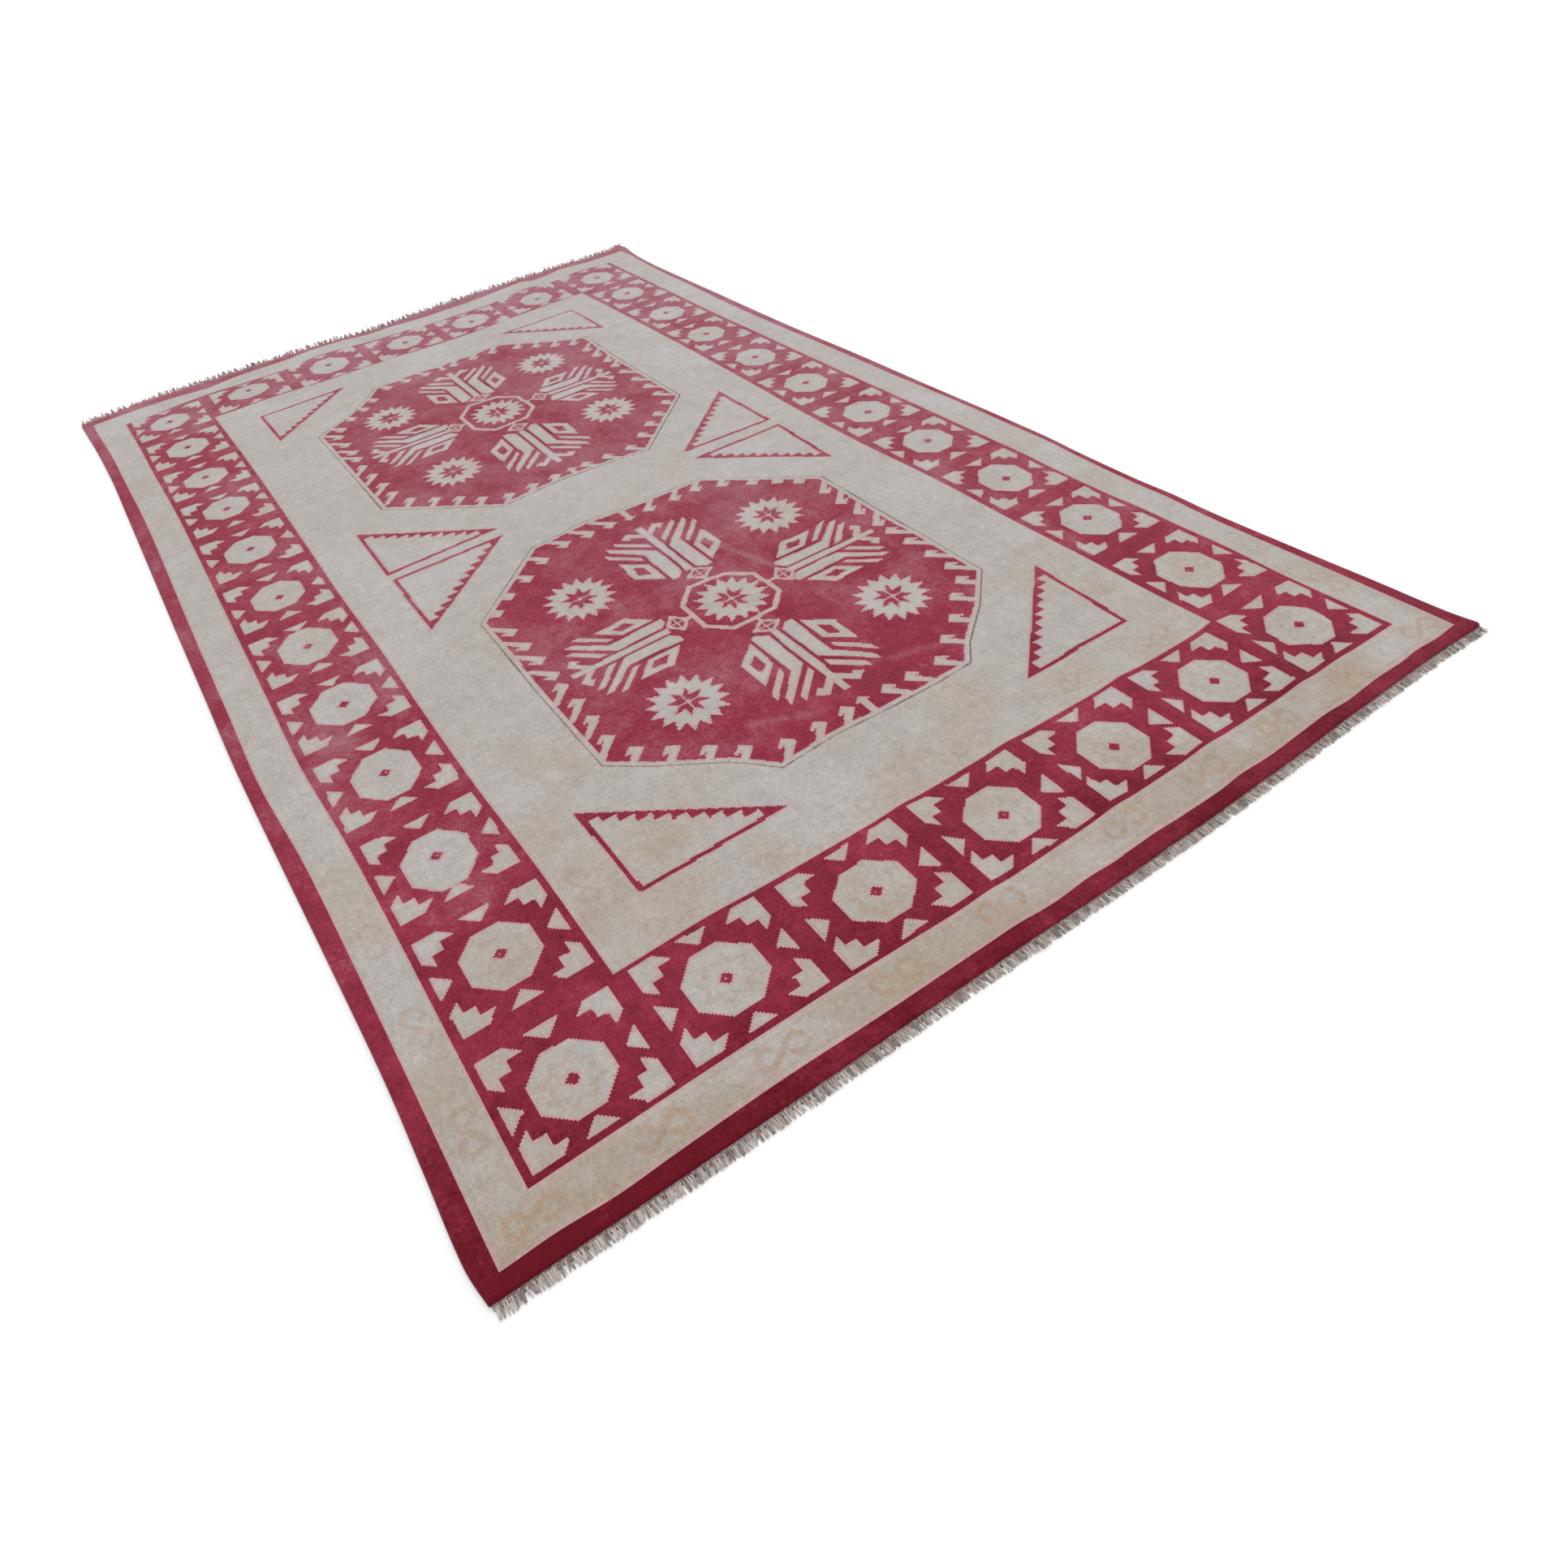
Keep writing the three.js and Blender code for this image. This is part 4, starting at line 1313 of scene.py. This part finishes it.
def wool_shader(name):
    """A dull wool material with its dye and tuft groups joined up. Gives them with the bench and
    the stored numbers, from which the groups' other inputs are worked out."""
    material, bench, shader, place = plain_material(name, 1.0, WOOL_SPECULAR)
    soft = stored_parts(bench, "soft")[1]
    counted, count_parts = stored_parts(bench, "count")
    dye = bench.add("ShaderNodeGroup", {"node_tree": dyes}, Place=place, Edge=soft["X"],
                    Ghost=soft["Y"], Fade=soft["Z"])
    tuft = bench.add("ShaderNodeGroup", {"node_tree": tufts}, Place=place, Count=counted)
    bench.put(shader.inputs["Base Color"], dye.outputs["Color"])
    bench.put(shader.inputs["Roughness"], dye.outputs["Roughness"])
    bump_from(bench, shader, tuft.outputs["Height"], 0.75)
    for socket, value in SHEEN.items():
        shader.inputs[socket].default_value = value
    return {"material": material, "bench": bench, "place": place, "dye": dye.inputs,
            "tuft": tuft.inputs, "soft": soft, "counted": counted, "thin": count_parts["Z"]}


pile = wool_shader("pile_wool")
bench, dye = pile["bench"], pile["dye"]
knot = stored_parts(bench, "knot")[1]
fuzz = bench.noise(pile["place"], 160.0, 4.0, roughness=0.75)
fuzz = bench.math("MULTIPLY_ADD", fuzz, 8.0, -4.0)
own_edge = bench.math("ADD", pile["soft"]["X"], fuzz)
own_edge = bench.math("MULTIPLY_ADD", knot["X"], 2 * KNOT_HOLD, own_edge)
thin = bench.math("MULTIPLY_ADD", fuzz, 0.05, pile["thin"])
bench.put(dye["Cream"], bench.ramp(own_edge, KNOT_HOLD - LINE_BLUR, KNOT_HOLD + LINE_BLUR))
bench.put(dye["Dark"], bench.ramp(thin, 0.46, 0.72))
bench.put(dye["Chance"], knot["Y"])
bench.put(dye["Chance 2"], knot["Z"])
bench.put(pile["tuft"]["Chance"], knot["Y"])

back = wool_shader("underside_wool")
bench, dye = back["bench"], back["dye"]
loose_edge = bench.math("MULTIPLY_ADD", bench.noise(back["counted"], 2.2, 1.0), 4.0, -2.0)
loose_edge = bench.math("ADD", back["soft"]["X"], loose_edge)
bench.put(dye["Cream"], bench.ramp(loose_edge, -LINE_BLUR, LINE_BLUR))
bench.put(dye["Wear"], 0.5)
bench.put(back["tuft"]["Tuft height"], 0.35 * MM)
bench.put(back["tuft"]["Fibre height"], 0.10 * MM)
print("wool materials", pile["material"].name, back["material"].name)

# %% [markdown]
# ## The five strips of pile
#
# Each strip gets its part of the grid, of the chart and of the normals. For baking, a strip
# three metres long and a third of a metre wide would waste most of a square picture, so its
# layout is cut into three lengths that lie side by side.

# %% Pile strips
STRIP_COUNT = 5
STRIP_LENGTHS = 3
LAYOUT_GAP = 0.004
DEPTH_LIMIT = 20.0  # a depth in the chart is stored no further than this

chance = np.random.default_rng(19)
NORMALS = surface_normals(POINT_X, POINT_Y, POINT_Z)
KIND = np.where(CREAM > 0, 1.0, 0.0)
KNOTS = np.stack([KIND, chance.random(KIND.shape), chance.random(KIND.shape)], axis=-1)
SOFT = np.stack([point_mean(np.clip(CREAM, -DEPTH_LIMIT, DEPTH_LIMIT)),
                 point_mean(np.clip(GHOST, -DEPTH_LIMIT, DEPTH_LIMIT)),
                 fade_and_sheen(POINT_X, POINT_Y)], axis=-1)
COUNT = np.stack([FROM_LEFT / KNOT_PITCH, FROM_NEAR / KNOT_PITCH, point_mean(THIN)], axis=-1)


def strip_layout(faces, across, along):
    """Where each face corner lies in the layout. The length that a face is in gives the column,
    and the rest of the way along gives the height in it."""
    share_along = along.ravel()[faces]
    number = np.floor(share_along.mean(axis=1, keepdims=True) * STRIP_LENGTHS)
    inner = 1 - 2 * LAYOUT_GAP
    u = (number + LAYOUT_GAP + inner * across.ravel()[faces]) / STRIP_LENGTHS
    v = LAYOUT_GAP + inner * (share_along * STRIP_LENGTHS - number)
    return np.stack([u, v], axis=-1)


strip_ends = np.linspace(0, len(columns) - 1, STRIP_COUNT + 1).round().astype(int)
length_ends = np.linspace(0, len(rows) - 1, STRIP_LENGTHS + 1).round().astype(int)
row_share = np.interp(np.arange(len(rows)), length_ends, np.linspace(0, 1, STRIP_LENGTHS + 1))
for number, (first, last) in enumerate(zip(strip_ends[:-1], strip_ends[1:]), start=1):
    part = np.s_[:, first:last + 1]
    faces = grid_faces(len(rows), last + 1 - first)
    points = np.stack([POINT_X[part], POINT_Y[part], POINT_Z[part]], axis=-1)
    strip = mesh_object(f"pile_{number}", points, faces, pile["material"],
                        NORMALS[part])
    store(strip, "knot", KNOTS[:, first:last], "FACE")
    store(strip, "soft", SOFT[part])
    store(strip, "count", COUNT[part])
    across = (FROM_LEFT[part] - columns[first]) / (columns[last] - columns[first])
    along = np.repeat(row_share[:, None], last + 1 - first, axis=1)
    unwrap(strip, strip_layout(faces, across, along))
    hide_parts("rug_body")

# %% [markdown]
# ## The underside
#
# The back of the carpet is the woven ground, where the knots show as small flat bumps in the
# same pattern, less mottled because no one walks on it. It is a coarser grid just under the
# pile, and it follows the same ridges.

# %% Underside
BACK_EVERY = 5
BACK_FLOOR = 0.3
EDGE_LINES = 1 + len(EDGE_SPLITS)


def thin_out(size):
    """One line of the grid in BACK_EVERY, with the edge's own lines kept."""
    keep = np.zeros(size, bool)
    keep[::BACK_EVERY] = True
    keep[:EDGE_LINES] = True
    keep[-EDGE_LINES:] = True
    return np.nonzero(keep)[0]


back_rows = thin_out(len(rows))
back_columns = thin_out(len(columns))
part = np.ix_(back_rows, back_columns)
back_z = LIFT[part] + BACK_FLOOR + (EDGE_FOOT - BACK_FLOOR) * (1 - ROUND[part])
back_points = np.stack([POINT_X[part], POINT_Y[part], back_z], axis=-1)
back_faces = grid_faces(len(back_rows), len(back_columns), flip=True)
ground_weave = mesh_object(
    "ground_weave", back_points, back_faces, back["material"],
    -surface_normals(POINT_X[part], POINT_Y[part], back_z),
)
store(ground_weave, "soft", SOFT[part])
store(ground_weave, "count", COUNT[part])
back_share = np.stack([FROM_LEFT[part] / LOOM_WIDTH, FROM_NEAR[part] / PILE_LENGTH], axis=-1)
back_share = LAYOUT_GAP + (1 - 2 * LAYOUT_GAP) * back_share
unwrap(ground_weave, back_share.reshape(-1, 2)[back_faces])
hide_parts("rug_body")
print("underside", len(ground_weave.data.polygons) * 2, "triangles")

# %% [markdown]
# ## End webs
#
# Past the last knots the ground is woven plain for a few millimetres, in dark wool, to lock the
# knots in. It is a low rounded band that follows the end, a little ragged at its outer edge. Its
# section, a list of places out from the last knots and up from the floor, is carried along.

# %% End webs
WEB_GAP = 0.3
WEB_WIDTH = 4.0
WEB_SECTION = [(-1.2, 0.4), (-1.0, 2.4), (0.4, 3.0), (2.0, 2.9), (3.4, 2.4), (4.2, 1.2), (6.5, 0.8),
               (6.5, 0.2)]
WEB_ENDS = {"near": (-865.0, 864.0), "far": (-888.0, 888.0)}
WEB_STEP = 6.0
WEB_RAGGED = {"out": 0.10, "up": 0.05}
WEB_DARK = (0.130, 0.085, 0.095, 1)
WEB_LIGHT = (0.330, 0.270, 0.275, 1)
WEB_STAIN = (0.230, 0.110, 0.130, 1)


def web_material():
    """Flat-woven dark wool with paler specks of cotton, stained in patches."""
    material, bench, shader, place = plain_material("web_wool", 0.92, 0.15)
    spots = bench.noise(place, 260.0, 2.0)
    colour = bench.mix(bench.ramp(spots, 0.35, 0.7), WEB_DARK, WEB_LIGHT)
    colour = bench.mix(bench.ramp(bench.noise(place, 9.0, 2.0), 0.45, 0.7), colour, WEB_STAIN)
    bench.put(shader.inputs["Base Color"], colour)
    bump_from(bench, shader, bench.math("MULTIPLY", spots, 0.4 * MM), 0.8)
    return material


web_wool = web_material()
wander = np.random.default_rng(41)


def end_web(end, edge, outwards):
    """The web's section carried along the end. A closed tube with flat ends."""
    start, stop = WEB_ENDS[end]
    x = np.arange(start, stop + 1, WEB_STEP)
    section = np.array(WEB_SECTION)
    ragged = 1 + WEB_RAGGED["out"] * wander.standard_normal((len(x), 1))
    out = section[None, :, 0] * np.where(section[None, :, 0] > 0, ragged, 1.0)
    base = edge(x)
    up = section[None, :, 1] * (1 + WEB_RAGGED["up"] * wander.standard_normal((len(x), 1)))
    raised = lift(x, base)[:, None]
    ring_y = base[:, None] + outwards * (WEB_GAP + out)
    points = np.stack([np.repeat(x[:, None], len(section), axis=1), ring_y, up + raised], axis=-1)
    faces = tube_faces(len(x), len(section))
    if outwards > 0:
        faces = faces[:, ::-1]
    web = mesh_object(f"web_{end}", points, faces, web_wool)
    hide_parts(f"end_web_{end}")
    return web


web_near = end_web("near", near_edge, -1)
web_far = end_web("far", far_edge, 1)
print("webs", len(web_near.data.polygons), len(web_far.data.polygons), "faces")

# %% [markdown]
# ## Fringes
#
# Each knot sits on a pair of cotton warps, and past the web the warp ends are left as short
# strands. Near the camera they are worn to a dense even brush, with dark gaps where they have
# parted. At the far end they have felted into uneven tufts, and a few stick out further. A
# strand is a tapering tube along a curve that drops to the floor: all strands are worked out
# together as one array of strand, step and side.

# %% Fringes
STRANDS = {
    "near": {"pitch": 1.8, "thick": 0.88, "short": 8.0, "long": 13.0, "lean": 0.9, "clump": 0.08,
             "parted": 0.08, "stray": 0.0, "curl": 1.4, "longer_left": 3.5},
    "far": {"pitch": 2.0, "thick": 2.1, "short": 12.0, "long": 22.0, "lean": 2.0, "clump": 0.38,
            "parted": 0.06, "stray": 9.0, "curl": 11.0, "longer_left": 0.0},
}
STRAND_TAPER = (0.85, 1.05, 1.05, 1.0, 0.62)  # thickness at each step, from the root outwards
STRAND_SIDES = 5
STRAND_FLAT = 0.72  # height of its section beside the width
DROOP = 1.5  # the power that bends it down to the floor and sideways
ROOT_JITTER = 0.35
ROOT_INSIDE = 1.5  # mm of it inside the web
ROOT_HEIGHT = {"least": 1.5, "more": 0.5}
LYING_HEIGHT = 0.9
FLOOR_GAP = 0.05
BEND = 0.8
THICK_SPREAD = 0.15
REACH_SHARES = {"slow": 0.55, "own": 0.45}  # of the length, how much neighbours share
PARTED_LENGTH = 0.45
STRAY_CHANCE = 0.035
CLUMP_WIDTH = 17.0
CLUMP_UNEVEN = 0.3
LIFT_LOST = 0.75  # share of the carpet's ridge that is gone at the tips
SLOW_WIDTHS = {"reach": 6, "parted": 10, "clump": 4, "lean": 14}  # in strands
FRINGE_LIMIT = {"near": 1530.0, "far": 1545.0}
FRINGE_SPARE = 1.5
spread = np.random.default_rng(7)


def smooth_chance(count, width):
    """Uneven values from 0 to 1 that change slowly along a row of strands."""
    raw = spread.random(count + 4 * width)
    kernel = np.hanning(2 * width + 1)
    smooth = np.convolve(raw, kernel / kernel.sum(), mode="same")[2 * width:2 * width + count]
    return (smooth - smooth.min()) / (smooth.max() - smooth.min())


def strand_places(end):
    """Where each strand starts along the end, how far out it reaches and how far aside it leans.
    Strands of a clump lean together, towards the clump's middle."""
    sizes = STRANDS[end]
    start, stop = WEB_ENDS[end]
    count = int((stop - start) / sizes["pitch"])
    root_x = start + 0.5 + (np.arange(count) + 0.5) * sizes["pitch"]
    root_x = root_x + spread.normal(0, ROOT_JITTER, count)
    slow = REACH_SHARES["slow"] * smooth_chance(count, SLOW_WIDTHS["reach"])
    own = REACH_SHARES["own"] * spread.random(count)
    reach = sizes["short"] + (sizes["long"] - sizes["short"]) * (slow + own)
    gap_chance = spread.random(count)
    parted = gap_chance < sizes["parted"] * 2 * smooth_chance(count, SLOW_WIDTHS["parted"])
    reach = np.where(parted, reach * PARTED_LENGTH, reach)
    reach = reach + sizes["longer_left"] * (0.5 - root_x / LOOM_WIDTH)
    stray = spread.random(count) < STRAY_CHANCE
    reach = reach + np.where(stray, sizes["stray"] * spread.random(count), 0)
    clump = root_x / CLUMP_WIDTH + CLUMP_UNEVEN * smooth_chance(count, SLOW_WIDTHS["clump"])
    clump_x = np.round(clump) * CLUMP_WIDTH
    lean = spread.normal(0, sizes["lean"], count) + sizes["clump"] * (clump_x - root_x)
    lean = lean + sizes["lean"] * 2 * (smooth_chance(count, SLOW_WIDTHS["lean"]) - 0.5)
    return root_x[:, None], reach[:, None], lean[:, None]


def strands(end, edge, outwards, material):
    """All the strands at one end: first the middle line and radius of each, then the tubes."""
    sizes = STRANDS[end]
    root_x, reach, lean = strand_places(end)
    count, steps = len(root_x), len(STRAND_TAPER)
    share = np.linspace(0, 1, steps)[None, :]
    base_y = edge(root_x)
    room = FRINGE_LIMIT[end] - FRINGE_SPARE - np.abs(base_y)
    reach = np.minimum(reach, room - WEB_GAP - WEB_WIDTH + 1)
    bend = spread.normal(0, BEND, (count, 1)) * np.sin(share * math.pi)
    middle_x = root_x + lean * share ** DROOP + bend
    out = WEB_GAP + WEB_WIDTH - ROOT_INSIDE + (reach + ROOT_INSIDE) * share
    middle_y = base_y + outwards * out
    start_z = ROOT_HEIGHT["least"] + ROOT_HEIGHT["more"] * spread.random((count, 1))
    thick = sizes["thick"] * (1 + THICK_SPREAD * spread.standard_normal((count, 1)))
    radius = thick * np.array(STRAND_TAPER)[None, :]
    flutter = sizes["curl"] * spread.random((count, 1)) ** 2 * share * share
    falling = start_z * (1 - share) ** DROOP + LYING_HEIGHT + flutter
    middle_z = np.maximum(falling, radius * STRAND_FLAT + FLOOR_GAP)
    middle_z = middle_z + lift(middle_x, middle_y) * (1 - LIFT_LOST * share)
    turn = np.arange(STRAND_SIDES) * 2 * math.pi / STRAND_SIDES
    x = middle_x[..., None] + radius[..., None] * np.cos(turn)
    y = np.repeat(middle_y[..., None], STRAND_SIDES, axis=-1)
    z = middle_z[..., None] + STRAND_FLAT * radius[..., None] * np.sin(turn)
    starts = np.arange(count)[:, None, None] * steps * STRAND_SIDES
    faces = (tube_faces(steps, STRAND_SIDES)[None] + starts).reshape(-1, 3)
    if outwards > 0:
        faces = faces[:, ::-1]
    points = np.stack([x, y, z], axis=-1)
    piece = mesh_object(f"strands_{end}", points, faces, material)
    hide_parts(f"fringe_{end}")
    return piece


def cotton_material(name, dark, light, stain, stained):
    """Greyed cotton: a twisted yarn whose colour changes from strand to strand, stained in
    patches."""
    material, bench, shader, place = plain_material(name, 0.9, 0.2)
    strand_tone = bench.noise(place, 210.0, 1.0, (1.0, 0.08, 0.3))
    soil = bench.ramp(bench.noise(place, 11.0, 3.0), 0.45, 0.65)
    colour = bench.mix(bench.ramp(strand_tone, 0.34, 0.60), dark, light)
    colour = bench.mix(bench.math("MULTIPLY", soil, stained), colour, stain)
    bench.put(shader.inputs["Base Color"], colour)
    twist = bench.noise(place, 1500.0, 1.0, (1.0, 0.6, 1.0))
    bump_from(bench, shader, bench.math("MULTIPLY", twist, 0.2 * MM), 0.7)
    return material


near_cotton = cotton_material("near_cotton", (0.230, 0.190, 0.180, 1), (0.540, 0.470, 0.435, 1),
                              (0.30, 0.23, 0.18, 1), 0.35)
far_cotton = cotton_material("far_cotton", (0.240, 0.165, 0.165, 1), (0.460, 0.345, 0.345, 1),
                             (0.42, 0.18, 0.22, 1), 0.90)
strands_near = strands("near", near_edge, -1, near_cotton)
strands_far = strands("far", far_edge, 1, far_cotton)
print("fringes", len(strands_near.data.polygons), len(strands_far.data.polygons), "faces")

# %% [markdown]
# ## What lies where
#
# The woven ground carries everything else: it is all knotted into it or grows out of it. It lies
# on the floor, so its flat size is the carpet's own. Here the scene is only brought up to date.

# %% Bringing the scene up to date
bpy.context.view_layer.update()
